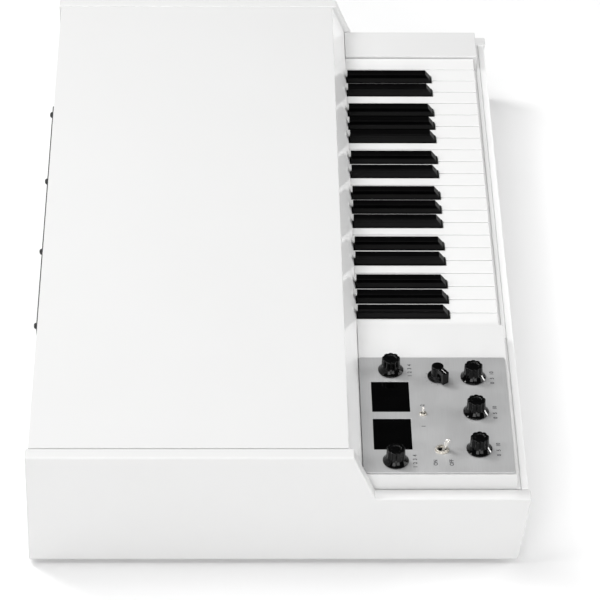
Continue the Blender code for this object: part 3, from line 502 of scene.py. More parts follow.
    @staticmethod
    def cut_sheet(name: str, loops: list[Outline], low: float, high: float, edge: float) -> Mesh:
        """Cut a flat sheet with holes.

        Args:
            name: The mesh's name.
            loops: The outer outline, then one for each hole, in X and Y.
            low: The underside's height.
            high: The top's height.
            edge: The rounding of all its edges.

        Returns:
            The sheet, shaded by its faces' areas.
        """
        curve = bpy.data.curves.new(name, "CURVE")
        curve.dimensions = "2D"
        curve.fill_mode = "BOTH"
        curve.extrude = (high - low) / 2 - edge
        curve.bevel_depth = edge
        curve.bevel_resolution = Shop.BEVEL_RINGS
        curve.offset = -edge
        for loop in loops:
            spline = curve.splines.new("POLY")
            spline.points.add(len(loop) - 1)
            spline.points.foreach_set("co", [value for x, y in loop for value in (x, y, 0.0, 1.0)])
            spline.use_cyclic_u = True
        shells = bmesh.new()
        shells.from_mesh(Shop.frozen(Shop.link(name, curve)))
        bmesh.ops.remove_doubles(shells, verts=shells.verts, dist=Shop.SAME_POINT)
        bmesh.ops.dissolve_degenerate(shells, edges=shells.edges, dist=Shop.SAME_POINT)
        mesh = Shop.packed(name, shells)
        mesh.transform(Matrix.Translation((0.0, 0.0, (low + high) / 2)))
        thing = Shop.link(name, mesh)
        thing.modifiers.new("shade", "WEIGHTED_NORMAL").weight = Shop.AREA_WEIGHT
        return Shop.frozen(thing)

    @staticmethod
    def block(name: str, low: Point, high: Point, edge: float, segments: int = 3) -> Mesh:
        """Make a block with rounded edges between two corners.

        Args:
            name: The mesh's name.
            low: The lowest corner.
            high: The highest corner.
            edge: The rounding's width.
            segments: How many faces it has across.

        Returns:
            The mesh.
        """
        shells = bmesh.new()
        size = Vector(high) - Vector(low)
        place = Matrix.Translation((Vector(low) + Vector(high)) / 2) @ Matrix.Diagonal((*size, 1.0))
        bmesh.ops.create_cube(shells, size=1.0, matrix=place)
        return Shop.eased(Shop.packed(name, shells), edge, segments)

    @staticmethod
    def merged(name: str, meshes: list[Mesh]) -> Mesh:
        """Put several meshes in one, with their shading kept.

        Args:
            name: The new mesh's name.
            meshes: The meshes.

        Returns:
            One mesh with all their faces.
        """
        things = [Shop.link(f"{name}_{i}", mesh) for i, mesh in enumerate(meshes)]
        with bpy.context.temp_override(active_object=things[0], selected_editable_objects=things):
            bpy.ops.object.join()
        mesh = things[0].data
        mesh.name = name
        bpy.data.objects.remove(things[0])
        return mesh

    @staticmethod
    def piece(name: str, mesh: Mesh, finish: Finish, slot: str, body: str = CABINET,
              stands_for: str = "") -> Object:
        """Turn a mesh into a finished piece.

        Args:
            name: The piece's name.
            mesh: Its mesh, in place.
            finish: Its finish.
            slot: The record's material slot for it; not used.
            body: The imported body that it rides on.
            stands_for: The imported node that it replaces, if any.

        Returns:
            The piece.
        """
        mesh.materials.clear()
        mesh.materials.append(finish.material())
        thing = Shop.link(name, mesh)
        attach(thing, body)
        if stands_for:
            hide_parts(stands_for)
        LOG.info("%s: %d faces on %s", name, len(mesh.polygons), body)
        return thing

    @staticmethod
    def refinished(node: str, finish: Finish) -> None:
        """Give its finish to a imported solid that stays.

        Args:
            node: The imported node.
            finish: Its finish.
        """
        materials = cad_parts[node].data.materials
        materials.clear()
        materials.append(finish.material())
        LOG.info("%s: packed solid, finished", node)

    @staticmethod
    def lettering(text: str, size: float, place: Point) -> Mesh:
        """Make flat letters or figures that face up.

        Args:
            text: What they say.
            size: The font's size, about 1.4 times the capitals' height.
            place: The middle of their box.

        Returns:
            The letters' mesh, as thin as ink.
        """
        curve = bpy.data.curves.new(text, "FONT")
        curve.body = text
        curve.size = size
        curve.align_x = "CENTER"
        curve.align_y = "CENTER"
        curve.extrude = Shop.INK_HALF
        curve.offset = Shop.INK_SPREAD
        mesh = Shop.frozen(Shop.link("lettering", curve))
        mesh.transform(Matrix.Translation(place))
        return mesh


class Recipe(Wiring):
    """A Geometry Nodes tree with named inputs, which is run on a mesh and leaves a plain mesh."""

    def __init__(self, name: str, *numbers: str, counts: tuple[str, ...] = (), things: tuple[str, ...] = ()) -> None:
        """Start a tree.

        Args:
            name: The tree's name.
            *numbers: Names of its inputs that are lengths, angles or shares.
            counts: Names of its inputs that are whole numbers.
            things: Names of its inputs that are objects.
        """
        self.tree = bpy.data.node_groups.new(name, "GeometryNodeTree")
        sides = {"INPUT": [("Geometry", "NodeSocketGeometry")], "OUTPUT": [("Geometry", "NodeSocketGeometry")]}
        sides["INPUT"] += [(n, "NodeSocketFloat") for n in numbers] + [(n, "NodeSocketInt") for n in counts]
        sides["INPUT"] += [(n, "NodeSocketObject") for n in things] + [("Finish", "NodeSocketMaterial")]
        for side, sockets in sides.items():
            for label, kind in sockets:
                self.tree.interface.new_socket(label, in_out=side, socket_type=kind)
        self.given = self.tree.nodes.new("NodeGroupInput").outputs

    def end(self, geometry: NodeSocket) -> "Recipe":
        """Close the tree with Realize Instances and Set Material.

        Args:
            geometry: The finished shape.

        Returns:
            This recipe.
        """
        real = self.out("GeometryNodeRealizeInstances", Geometry=geometry)
        done = self.out("GeometryNodeSetMaterial", Geometry=real, Material=self.given["Finish"])
        self.node("NodeGroupOutput", Geometry=done)
        return self

    def run(self, name: str, mesh: Mesh, finish: Finish, **values: object) -> Mesh:
        """Run the tree on a mesh.

        Args:
            name: The result's name.
            mesh: What the tree starts from.
            finish: The finish that it sets.
            **values: Its named inputs, with underscores for spaces.

        Returns:
            A plain mesh.
        """
        carrier = Shop.link(name, mesh)
        step = carrier.modifiers.new("recipe", "NODES")
        step.node_group = self.tree
        wanted = {key.replace("_", " "): value for key, value in values.items()} | {"Finish": finish.material()}
        for item in self.tree.interface.items_tree:
            if item.in_out == "INPUT" and item.name in wanted:
                step[item.identifier] = wanted[item.name]
        made = Shop.frozen(carrier)
        made.name = name
        return made


class Recipes:
    """The trees that this instrument uses: lobed grips, repeated hardware, thread rings and dial marks."""

    FLUTE_POWER = 1.3
    MARK_HEIGHT = 0.00002
    SPIN_SEED = 7

    def __init__(self) -> None:
        """Build the trees once."""
        self.lobes = self.lobed_grip()
        self.repeat = self.repeated_unit()
        self.rings = self.stacked_rings()
        self.marks = self.dial_marks()

    @staticmethod
    def lobed_grip() -> Recipe:
        """Press shallow flutes between lobes into a turned knob above its skirt.

        Returns:
            A recipe with inputs Lobes, Depth, Foot and Rise.
        """
        r = Recipe("lobed_grip", "Depth", "Foot", "Rise", counts=("Lobes",))
        split = r.node("ShaderNodeSeparateXYZ", i0=r.out("GeometryNodeInputPosition")).outputs
        angle = r.math("ARCTAN2", split[1], split[0])
        wave = r.math("ABSOLUTE", r.math("COSINE", r.math("MULTIPLY", angle, r.math("DIVIDE", r.given["Lobes"], 2.0))))
        flute = r.math("POWER", r.math("SUBTRACT", 1.0, wave), Recipes.FLUTE_POWER)
        height = r.math("SUBTRACT", split[2], r.given["Foot"])
        share = r.out("ShaderNodeClamp", i0=r.math("DIVIDE", height, r.given["Rise"]))
        inward = r.math("MULTIPLY", r.math("MULTIPLY", flute, share), r.given["Depth"])
        scale = r.math("SUBTRACT", 1.0, inward)
        flat = r.xyz(r.math("MULTIPLY", split[0], scale), r.math("MULTIPLY", split[1], scale), split[2])
        return r.end(r.out("GeometryNodeSetPosition", Geometry=r.given["Geometry"], Position=flat))

    @staticmethod
    def repeated_unit() -> Recipe:
        """Put a unit on each point, each turned differently round its own axis.

        Returns:
            A recipe with inputs Unit, Turn, Tilt and Seed.
        """
        r = Recipe("repeated_unit", "Turn", "Tilt", counts=("Seed",), things=("Unit",))
        unit = r.node("GeometryNodeObjectInfo", Object=r.given["Unit"]).outputs["Geometry"]
        spin = r.tree.nodes.new("FunctionNodeRandomValue")
        spin.data_type = "FLOAT"
        floats = [s for s in spin.inputs if s.type == "VALUE"]
        r.tree.links.new(r.given["Turn"], floats[1])
        r.tree.links.new(r.given["Seed"], spin.inputs["Seed"])
        turned = next(s for s in spin.outputs if s.type == "VALUE")
        points = r.out("GeometryNodeInstanceOnPoints", Points=r.given["Geometry"], Instance=unit,
                       Rotation=r.xyz(r.given["Tilt"]))
        return r.end(r.out("GeometryNodeRotateInstances", Instances=points, Rotation=r.xyz(z=turned)))

    @staticmethod
    def stacked_rings() -> Recipe:
        """Stack rings of round wire, as the crests of a thread.

        Returns:
            A recipe with inputs Radius, Wire, Pitch, Foot and Count.
        """
        r = Recipe("stacked_rings", "Radius", "Wire", "Pitch", "Foot", counts=("Count",))
        circle = r.out("GeometryNodeCurvePrimitiveCircle", Resolution=40, Radius=r.given["Radius"])
        section = r.out("GeometryNodeCurvePrimitiveCircle", Resolution=8, Radius=r.given["Wire"])
        ring = r.out("GeometryNodeCurveToMesh", Curve=circle, i1=section)
        line = r.out("GeometryNodeMeshLine", Count=r.given["Count"], Start_Location=r.xyz(z=r.given["Foot"]),
                     Offset=r.xyz(z=r.given["Pitch"]))
        return r.end(r.out("GeometryNodeInstanceOnPoints", Points=line, Instance=ring))

    @staticmethod
    def dial_marks() -> Recipe:
        """Lay thin marks on an arc round a dial.

        Returns:
            A recipe with inputs Radius, Start, Sweep, Length, Width and Count.
        """
        r = Recipe("dial_marks", "Radius", "Start", "Sweep", "Length", "Width", counts=("Count",))
        size = r.xyz(r.given["Length"], r.given["Width"], Recipes.MARK_HEIGHT)
        bar = r.out("GeometryNodeTransform", Geometry=r.out("GeometryNodeMeshCube", Size=size),
                    Translation=r.xyz(r.given["Radius"]))
        line = r.out("GeometryNodeMeshLine", Count=r.given["Count"], Offset=(0.0, 0.0, 0.0))
        last = r.math("MAXIMUM", r.math("SUBTRACT", r.given["Count"], 1.0), 1.0)
        step = r.math("DIVIDE", r.math("MULTIPLY", r.out("GeometryNodeInputIndex"), r.given["Sweep"]), last)
        turn = r.xyz(z=r.math("ADD", r.given["Start"], step))
        return r.end(r.out("GeometryNodeInstanceOnPoints", Points=line, Instance=bar, Rotation=turn))

    def hardware(self, name: str, unit: Mesh, points: list[Point], finish: Finish, slot: str,
                 turn: float = 0.0, tilt: float = 0.0, stand: Matrix | None = None) -> None:
        """Repeat a unit at given points, as one piece of the cabinet.

        Args:
            name: The piece's name.
            unit: The unit's mesh, standing on the origin along +Z.
            points: Where each unit stands.
            finish: Their finish.
            slot: Passed on to Shop.piece, which does not use it.
            turn: Up to how far each is turned round its own axis, in radians.
            tilt: How far they are all tilted round X, in radians.
            stand: Moves them all at the end, if given.
        """
        pattern = Shop.link(name + "_unit", unit)
        cloud = bpy.data.meshes.new(name)
        cloud.from_pydata(points, [], [])
        made = self.repeat.run(name, cloud, finish, Unit=pattern, Turn=turn, Tilt=tilt, Seed=self.SPIN_SEED)
        bpy.data.objects.remove(pattern)
        if stand is not None:
            made.transform(stand)
        Shop.piece(name, made, finish, slot)


# The instrument

@dataclass
class Cabinet:
    """The lacquered case: cheeks, lid, fallboard, panels, blocks and what is under them."""

    recipes: Recipes
    arris: float = 0.0018
    seat_height: float = 0.079
    slope_top: float = -0.0743
    slope_foot: float = -0.0963
    front_lean: float = 0.010
    board_edge: float = 0.0007
    sharp_edge: float = 0.0004
    foot_radius: float = 0.011
    foot_height: float = 0.005
    foot_inset: float = 0.045
    screw_radius: float = 0.0035
    panel_thickness: float = 0.0070
    slip_thickness: float = 0.0043
    key_ledge: float = 0.0034
    ledge_drop: float = 0.0007
    ledge_depth: float = 0.004
    ledge_gap: float = 0.0004
    ledge_rear_gap: float = 0.0001
    ledge_edge: float = 0.0002
    screw_inset: float = 0.012
    screw_row: float = 0.39
    screw_end: float = 0.395
    screw_side: float = 0.08
    boards: dict[str, float] = field(default_factory=lambda: {
        "top_lid": 0.0004, "front_panel": 0.0009, "key_slip": 0.0005, "rear_panel": 0.0007, "control_block": 0.0008,
        "treble_block": 0.0008})

    def build(self) -> None:
        """Build every piece of the case."""
        for side in Side:
            self.cheek(side)
        for node, edge in self.boards.items():
            # The front panel and key slip take the lighter lacquer, painted light against the shade that the keys cast.
            finish = PAINTED_LIGHT_LACQUER if node in ("front_panel", "key_slip") else LACQUER
            Shop.piece(node + "_board", Shop.traced(node, edge), finish, "white_lacquer", stands_for=node)
        self.ledges()
        # The fallboard takes the glossy lacquer with painted light.
        Shop.piece("fallboard_face", Shop.traced("fallboard", self.sharp_edge), GLOSS_LACQUER_PAINTED_LIGHT, "white_lacquer",
                   stands_for="fallboard")
        self.underside()

    def cheek(self, side: Side) -> None:
        """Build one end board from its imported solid's outline.

        Args:
            side: Which end.
        """
        node = side.value
        low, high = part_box(node)
        seat = self.seat_height + low.z
        half = (high.x - low.x) / 2
        outline = [(high.y, low.z), (high.y, high.z), (self.slope_top, high.z), (self.slope_foot, seat),
                   (low.y, seat), (low.y + self.front_lean, low.z)]
        mesh = Shop.cut_sheet(node, [Shop.filleted(outline, self.arris)], -half, half, self.arris)
        upright = Matrix(((0, 0, 1, (low.x + high.x) / 2), (1, 0, 0, 0), (0, 1, 0, 0), (0, 0, 0, 1)))
        mesh.transform(upright)
        Shop.piece(node + "_board", mesh, LACQUER, "white_lacquer", stands_for=node)

    def ledges(self) -> None:
        """Close the slot behind the front panel, and the one before the keys, with white ledges."""
        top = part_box("front_panel")[1].z
        panel_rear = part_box("front_panel")[0].y + self.panel_thickness
        slip_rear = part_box("key_slip")[0].y + self.slip_thickness
        runs = [(node, panel_rear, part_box(node)[0].y) for node in ("control_block", "treble_block")]
        runs.append(("key_slip", slip_rear, slip_rear + self.key_ledge))
        parts = []
        for node, front, rear in runs:
            low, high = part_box(node)
            foot = (low.x, front + self.ledge_gap, top - self.ledge_drop - self.ledge_depth)
            crest = (high.x, rear - self.ledge_rear_gap, top - self.ledge_drop)
            parts.append(Shop.block("ledge", foot, crest, self.ledge_edge))
        # The ledges take the lighter lacquer, painted light in the shaded slots.
        Shop.piece("slot_ledges", Shop.merged("slot_ledges", parts), PAINTED_LIGHT_LACQUER, "white_lacquer")

    def underside(self) -> None:
        """Build the bottom board, its screws and the rubber feet."""
        low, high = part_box("bottom_panel")
        base = low.z + self.foot_height
        board = Shop.block("bottom_board", (low.x, low.y, base), high, self.board_edge)
        Shop.piece("bottom_board", board, UNDERSIDE, "white_lacquer", stands_for="bottom_panel")
        r, h = self.foot_radius, self.foot_height
        foot = [(0.0, h + 0.0005), (r, h + 0.0005), (r, 0.0030), (r - 0.0010, 0.0), (r - 0.0035, 0.0),
                (r - 0.0042, 0.0014), (0.0045, 0.0018), (0.0040, 0.0032), (0.0, 0.0032)]
        unit = Shop.turned("foot", Shop.filleted(foot, 0.0007, closed=False), 40)
        ends = (low.x + self.foot_inset - 0.0003, high.x - self.foot_inset + 0.0003)
        rows = (low.y + self.foot_inset, high.y - self.foot_inset)
        places = [(x, y, 0.0) for x in ends for y in rows]
        self.recipes.hardware("rubber_feet", unit, places, RUBBER, "sheet_steel")
        edges = (low.y + self.screw_inset, high.y - self.screw_inset)
        seats = [(x * self.screw_row, y, base) for x in (-1.0, -0.33, 0.33, 1.0) for y in edges]
        seats += [(x * self.screw_end, y, base) for x in (-1.0, 1.0) for y in (-self.screw_side, self.screw_side)]
        screw = Screw(self.screw_radius, 0.0004, 0.0015).mesh()
        self.recipes.hardware("bottom_screws", screw, seats, BLACK_STEEL, "sheet_steel", Screw.loose, math.pi)


@dataclass
class Screw:
    """A screw head with a cross recess, standing on the origin along +Z."""

    radius: float
    height: float
    slot: float
    dome: float = 0.55
    steps: int = 32
    shares: tuple[float, ...] = (0.0, 0.12, 0.24, 0.36, 0.48, 0.60, 0.74, 0.88, 0.97, 1.0)
    arm_half: float = 0.10
    arm_reach: float = 0.55
    deepest: float = 0.6
    neck: float = 0.2
    loose: float = 1.5

    def mesh(self) -> Mesh:
        """Build the head.

        Returns:
            The mesh, with its cross recess pressed in.
        """
        r, h = self.radius, self.height
        shells = bmesh.new()
        rings = []
        for share in self.shares:
            ring = []
            for x, y in Shop.ring(r * share, self.steps if share else 1):
                z = h * (1.0 - (1.0 - self.dome) * share ** 3)
                near, far = sorted((abs(x), abs(y)))
                if near < r * self.arm_half and far < r * self.arm_reach:
                    z -= min(h * self.deepest, self.slot) * (1.0 - far / r)
                ring.append(shells.verts.new((x, y, z)))
            rings.append(ring)
        rings.append([shells.verts.new((x, y, -h * self.neck)) for x, y in Shop.ring(r, self.steps)])
        Shop.joined(shells, rings)
        shells.faces.new(rings[-1])
        return Shop.packed("screw", shells)


@dataclass
class Keys:
    """The thirty-seven keys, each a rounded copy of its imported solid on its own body."""

    white_edge: float = 0.0007
    black_edge: float = 0.0009

    def build(self) -> None:
        """Build all the keys, and finish the frame under them."""
        kinds = (("white_key", self.white_edge, WHITE_KEY), ("black_key", self.black_edge, BLACK_KEY))
        for node in sorted(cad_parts):
            for kind, edge, finish in kinds:
                if node.startswith(kind):
                    Shop.piece(node + "_cap", Shop.traced(node, edge), finish, kind + "_plastic", node, node)
        Shop.refinished("key_chassis", FRAME_METAL)


@dataclass
class Controls:
    """The control plate with its knobs, switches, displays and plain marks."""

    recipes: Recipes
    left: float = -0.4079
    front: float = -0.2357
    length: float = 0.1868
    depth: float = 0.1509
    top: float = 0.1038
    thickness: float = 0.002
    corner: float = 0.0016
    edge: float = 0.0003
    knobs: dict[str, Flat] = field(default_factory=lambda: {
        "volume": (0.0358, 0.0342), "tone": (0.0955, 0.0344), "pitch": (0.1528, 0.0344),
        "select_a": (0.0173, 0.1185), "select_b": (0.1647, 0.1186)})
    mix: Flat = (0.1533, 0.0712)
    power: Flat = (0.0351, 0.0716)
    span: Flat = (0.0930, 0.0881)
    displays: tuple[Flat, ...] = ((0.0606, 0.1202), (0.1213, 0.1202))
    display_size: Flat = (0.0490, 0.0380)
    window_gap: float = 0.0003
    window_corner: float = 0.0007
    pot_hole: float = 0.0036
    power_hole: float = 0.0060
    span_hole: float = 0.0033
    letter_size: float = 0.0056
    label_drop: float = 0.0195
    ink_rise: float = 0.00002
    dial_radius: float = 0.0125
    dial_start: float = math.radians(-30.0)
    dial_sweep: float = math.radians(240.0)
    dial_ticks: int = 9
    tick_size: Flat = (0.0014, 0.0003)
    power_body: Flat = (0.008, 0.0115)
    span_body: Flat = (0.0045, 0.0080)
    body_floor: float = 0.0025
    body_lap: float = 0.002
    body_wall: float = 0.14
    power_lean: float = math.radians(18.5)
    span_lean: float = math.radians(12.5)

    def at(self, offset: Flat, rise: float = 0.0) -> Point:
        """Return a point over the plate, from its bass front corner."""
        return (self.left + offset[0], self.front + offset[1], self.top + rise)

    def build(self) -> None:
        """Build everything on the plate."""
        self.plate()
        self.bodies()
        for name, offset in self.knobs.items():
            FlutedKnob(self.recipes, name, self.at(offset), pointer=not name.startswith("select")).build()
        PointerKnob(self.at(self.mix)).build()
        Toggle(self.recipes, "power_toggle", self.at(self.power), (1.0, 0.0, 0.0), self.power_lean).build()
        Toggle(self.recipes, "range_toggle", self.at(self.span), (0.0, 1.0, 0.0), self.span_lean, bushing=0.0040,
               mouth=0.0026, height=0.0015, ball=0.0018, sunk=0.003, lever=0.0009, length=0.0105, tip=0.0014).build()
        Shop.refinished("display_board", DISPLAY)
        self.print_marks()

    def plate(self) -> None:
        """Cut the plate with its windows and holes."""
        outer = Shop.oblong((self.left, self.front), (self.left + self.length, self.front + self.depth))
        loops = [Shop.filleted(outer, self.corner)]
        half_x, half_y = (side / 2 + self.window_gap for side in self.display_size)
        for centre in self.displays:
            x, y, _ = self.at(centre)
            window = Shop.oblong((x - half_x, y - half_y), (x + half_x, y + half_y))
            loops.append(Shop.filleted(window, self.window_corner))
        holes = [(offset, self.pot_hole) for offset in (*self.knobs.values(), self.mix)]
        for offset, radius in (*holes, (self.power, self.power_hole), (self.span, self.span_hole)):
            loops.append(Shop.ring(radius, 40, self.at(offset)[:2]))
        sheet = Shop.cut_sheet("plate_sheet", loops, self.top - self.thickness, self.top, self.edge)
        Shop.piece("plate_sheet", sheet, ALUMINIUM, "satin_aluminium", stands_for="control_plate")

    def bodies(self) -> None:
        """Build the pots and switch bodies under the plate."""
        under = self.top - self.thickness
        hole = self.pot_hole
        can = [(hole, 0.0), (0.0080, 0.0), (0.0080, -0.0070), (0.0074, -0.0090), (0.0, -0.0090)]
        unit = Shop.turned("pot", [(hole, -0.0085), *Shop.filleted(can, 0.0006, 3, closed=False)], 32)
        places = [(*self.at(offset)[:2], under) for offset in (*self.knobs.values(), self.mix)]
        self.recipes.hardware("pot_bodies", unit, places, NICKEL, "satin_aluminium")
        bodies = (("power", self.power, self.power_body), ("range", self.span, self.span_body))
        for name, offset, (half, depth) in bodies:
            x, y, z = self.at(offset)
            low = z - depth
            parts = [Shop.block("case", (x - half, y - half, low), (x + half, y + half, low + self.body_floor), 0.0005)]
            wall = half * self.body_wall
            foot = low + self.body_lap
            for i, j in ((-1, 0), (1, 0), (0, -1), (0, 1)):
                cx, cy = x + i * (half - wall), y + j * (half - wall)
                dx, dy = (wall, half) if i else (half, wall)
                parts.append(Shop.block("case", (cx - dx, cy - dy, foot), (cx + dx, cy + dy, under), 0.0003))
            body = name + "_switch_body"
            Shop.piece(body, Shop.merged(body, parts), SOCKET_BLACK, "satin_aluminium")

    def print_marks(self) -> None:
        """Print plain figures and marks beside the controls."""
        labels = [("1  2  3  4" if name.startswith("select") else "0   5   10", (x, y - self.label_drop))
                  for name, (x, y) in self.knobs.items()]
        for text, (x, y), dx, dy in (("ON", self.power, -0.0200, 0.0070), ("OFF", self.power, -0.0200, -0.0090),
                                     ("2", self.span, 0.0140, 0.0), ("1", self.span, -0.0200, 0.0)):
            labels.append((text, (x + dx, y + dy)))
        marks = [Shop.lettering(text, self.letter_size, self.at(spot, self.ink_rise)) for text, spot in labels]
        empty = bpy.data.meshes.new("dial")
        dial = self.recipes.marks.run("mix_dial", empty, DARK_INK, Radius=self.dial_radius, Start=self.dial_start,
                                      Sweep=self.dial_sweep, Length=self.tick_size[0], Width=self.tick_size[1],
                                      Count=self.dial_ticks)
        dial.transform(Matrix.Translation(self.at(self.mix, self.ink_rise)))
        marks.append(dial)
        Shop.piece("printed_marks", Shop.merged("printed_marks", marks), DARK_INK, "knob_plastic")


@dataclass
class FlutedKnob:
    """A round knob with a lobed grip on a flared skirt; three of them have a white line."""

    recipes: Recipes
    name: str
    place: Point
    pointer: bool
    height: float = 0.0162
    lift: float = 0.0005
    skirt: float = 0.0130
    rim: float = 0.0012
    rise: float = 0.0060
    grip: float = 0.0097
    grip_top: float = 0.0093
    lobes: int = 9
    flute: float = 0.135
    line_width: float = 0.0017
    line_turn: float = math.radians(240.0)
    line_depth: float = 0.0002
    shaft: float = 0.0030
    shaft_end: float = -0.0080
    sharp_above: float = math.radians(40.0)

    def flare(self) -> Outline:
        """Return the skirt's hollow curve, from the grip's foot to the rim."""
        start, end = (self.grip, self.lift + self.rise), (self.skirt, self.lift + self.rim)
        middle = (self.grip + 0.00135, self.lift + self.rim + 0.0019)
        shares = [i / 8 for i in range(9)]
        return [tuple(start[k] * (1 - t) ** 2 + middle[k] * 2 * t * (1 - t) + end[k] * t * t for k in (0, 1))
                for t in shares]

    def build(self) -> None:
        """Build the knob and its line."""
        top = self.height
        crown = [(0.0, top - 0.0006), (0.0050, top - 0.0006), (0.0058, top - 0.0001), (0.0066, top - 0.0001),
                 (0.0072, top), (self.grip_top, top), (self.grip, self.lift + self.rise)]
        crown = Shop.filleted(crown, 0.0009, 4, closed=False)
        side = [(self.grip_top + (self.grip - self.grip_top) * t, top - 0.0012 - (top - 0.0077) * t)
                for t in (0.0, 0.2, 0.4, 0.6, 0.8)]
        foot = [(self.skirt, self.lift + 0.0003), (self.skirt - 0.0004, self.lift), (self.shaft, self.lift),
                (self.shaft, self.shaft_end), (0.0, self.shaft_end)]
        profile = crown[:-1] + side[1:] + self.flare() + foot
        mesh = Shop.turned(self.name, profile, 144)
        lobed = self.recipes.lobes.run(self.name, mesh, KNOB_BLACK, Lobes=self.lobes, Depth=self.flute,
                                       Foot=self.lift + self.rise - 0.0004, Rise=0.0022)
        lobed.shade_smooth()
        lobed.set_sharp_from_angle(angle=self.sharp_above)
        lobed.transform(Matrix.Translation(self.place))
        node = self.name + "_knob"
        Shop.piece(node + "_grip", lobed, KNOB_BLACK, "knob_plastic", node, node)
        if self.pointer:
            self.line(node)

    def line(self, node: str) -> None:
        """Inlay the white line on the skirt.

        Args:
            node: The knob's node and body.
        """
        shells = bmesh.new()
        half = self.line_width / 2
        points = [*self.flare(), (self.skirt, self.lift + 0.0005)]
        rows = []
        for r, z in points:
            outer = [shells.verts.new((r + 0.00002, s * half, z + 0.00008)) for s in (-1, 1)]
            inner = [shells.verts.new((r - self.line_depth, s * half, z - self.line_depth)) for s in (1, -1)]
            rows.append(outer + inner)
        Shop.joined(shells, rows)
        for row in (rows[0], rows[-1]):
            shells.faces.new(row)
        mesh = Shop.packed(self.name + "_line", shells)
        mesh.transform(Matrix.Translation(self.place) @ Matrix.Rotation(self.line_turn, 4, "Z"))
        Shop.piece(self.name + "_line", mesh, WHITE_INK, "white_key_plastic", node)


@dataclass
class PointerKnob:
    """The mix knob: a round flange and core with a bar that points outwards."""

    place: Point
    height: float = 0.0150
    lift: float = 0.0005
    flange: float = 0.0102
    flange_edge: float = 0.0026
    flange_top: float = 0.0035
    core: float = 0.0062
    shaft: float = 0.0030
    shaft_end: float = -0.0080
    top_drop: float = 0.0006
    reach: float = 0.0148
    width: float = 0.0075
    turn: float = math.radians(214.0)

    def build(self) -> None:
        """Build the turned body, the bar and its line."""
        profile = [(0.0, self.height), (self.core, self.height), (self.core, self.flange_top + 0.0006),
                   (self.flange - 0.0012, self.flange_top), (self.flange, self.flange_edge), (self.flange, self.lift),
                   (self.shaft, self.lift), (self.shaft, self.shaft_end), (0.0, self.shaft_end)]
        body = Shop.turned("mix", Shop.filleted(profile, 0.0007, 3, closed=False), 72)
        half = self.width / 2
        top = self.height - self.top_drop
        bar = Shop.block("mix_bar", (0.0, -half, 0.0008), (self.reach, half, top), 0.0007)
        mesh = Shop.merged("mix_knob", [body, bar])
        line = Shop.block("mix_line", (self.core + 0.0008, -0.0003, top - 0.0004),
                          (self.reach - 0.0006, 0.0003, top + 0.00003), 0.00008, 1)
        spot = Matrix.Translation(self.place) @ Matrix.Rotation(self.turn, 4, "Z")
        mesh.transform(spot)
        line.transform(spot)
        Shop.piece("mix_knob_body", mesh, KNOB_BLACK, "knob_plastic", "mix_knob", "mix_knob")
        Shop.piece("mix_knob_line", line, WHITE_INK, "white_key_plastic", "mix_knob")


@dataclass
class Toggle:
    """A toggle switch: threaded bushing and dress nut on the plate, and a lever on its ball."""

    recipes: Recipes
    name: str
    place: Point
    lean_axis: Point
    lean: float
    bushing: float = 0.0072
    mouth: float = 0.0049
    height: float = 0.0025
    ball: float = 0.0034
    sunk: float = 0.005
    lever: float = 0.0017
    length: float = 0.020
    tip: float = 0.0026
    teeth: int = 36

    def build(self) -> None:
        """Build the washer, nut, bushing and lever."""
        outer, mouth, h = self.bushing, self.mouth, self.height
        ring = mouth + (outer - mouth) * 0.42
        nut = [(mouth, -0.0012), (mouth, h - 0.0001), (mouth + 0.0001, h), (ring - 0.0002, h), (ring, h * 0.92),
               (ring, h * 0.72), (outer * 0.93, h * 0.66), (outer * 0.95, h * 0.24), (outer, h * 0.20), (outer, 0.0),
               (mouth + 0.0008, -0.0012)]
        wire = h * 0.06
        thread = self.recipes.rings.run("thread", bpy.data.meshes.new("thread"), NICKEL, Radius=ring - wire * 0.4,
                                        Wire=wire, Pitch=h * 0.11, Foot=h * 0.74, Count=2)
        parts = [Shop.turned(self.name + "_nut", [*nut, nut[0]], 56), thread]
        tooth = Shop.block("tooth", (-outer * 0.022, -outer * 0.04, 0.0), (outer * 0.022, outer * 0.04, h * 0.40),
                           outer * 0.012, 1)
        for i in range(self.teeth):
            copy = tooth.copy()
            turn = Matrix.Rotation(math.tau * i / self.teeth, 4, "Z")
            copy.transform(turn @ Matrix.Translation((outer * 0.945, 0.0, h * 0.23)))
            parts.append(copy)
        mesh = Shop.merged(self.name + "_nut", parts)
        mesh.transform(Matrix.Translation(self.place))
        Shop.piece(self.name + "_nut", mesh, NICKEL, "satin_aluminium")
        self.handle()

    def handle(self) -> None:
        """Build the lever, leaning at rest."""
        ball, lever, tip, length = self.ball, self.lever, self.tip, self.length
        start = math.acos(lever / ball)
        arc = [(ball * math.cos(a), ball * math.sin(a)) for a in
               (start + (-math.pi / 2 - start) * i / 14 for i in range(14))]
        shape = ((0.0, 0.0), (0.55, 0.16), (0.88, 0.55), (1.0, 1.1), (0.97, 1.9), (0.80, 3.4))
        bat = [(tip * across, length - tip * down) for across, down in shape]
        bat += [(lever, length - tip * 5.2), (lever * 0.92, ball * 1.5)]
        profile = Shop.filleted(bat, tip * 0.6, 3, closed=False) + arc + [(0.0, -ball)]
        mesh = Shop.turned(self.name, profile, 40)
        centre = Vector(self.place) - Vector((0.0, 0.0, self.sunk))
        mesh.transform(Matrix.Translation(centre) @ Matrix.Rotation(self.lean, 4, Vector(self.lean_axis)))
        Shop.piece(self.name + "_lever", mesh, CHROME, "chrome", self.name, self.name)


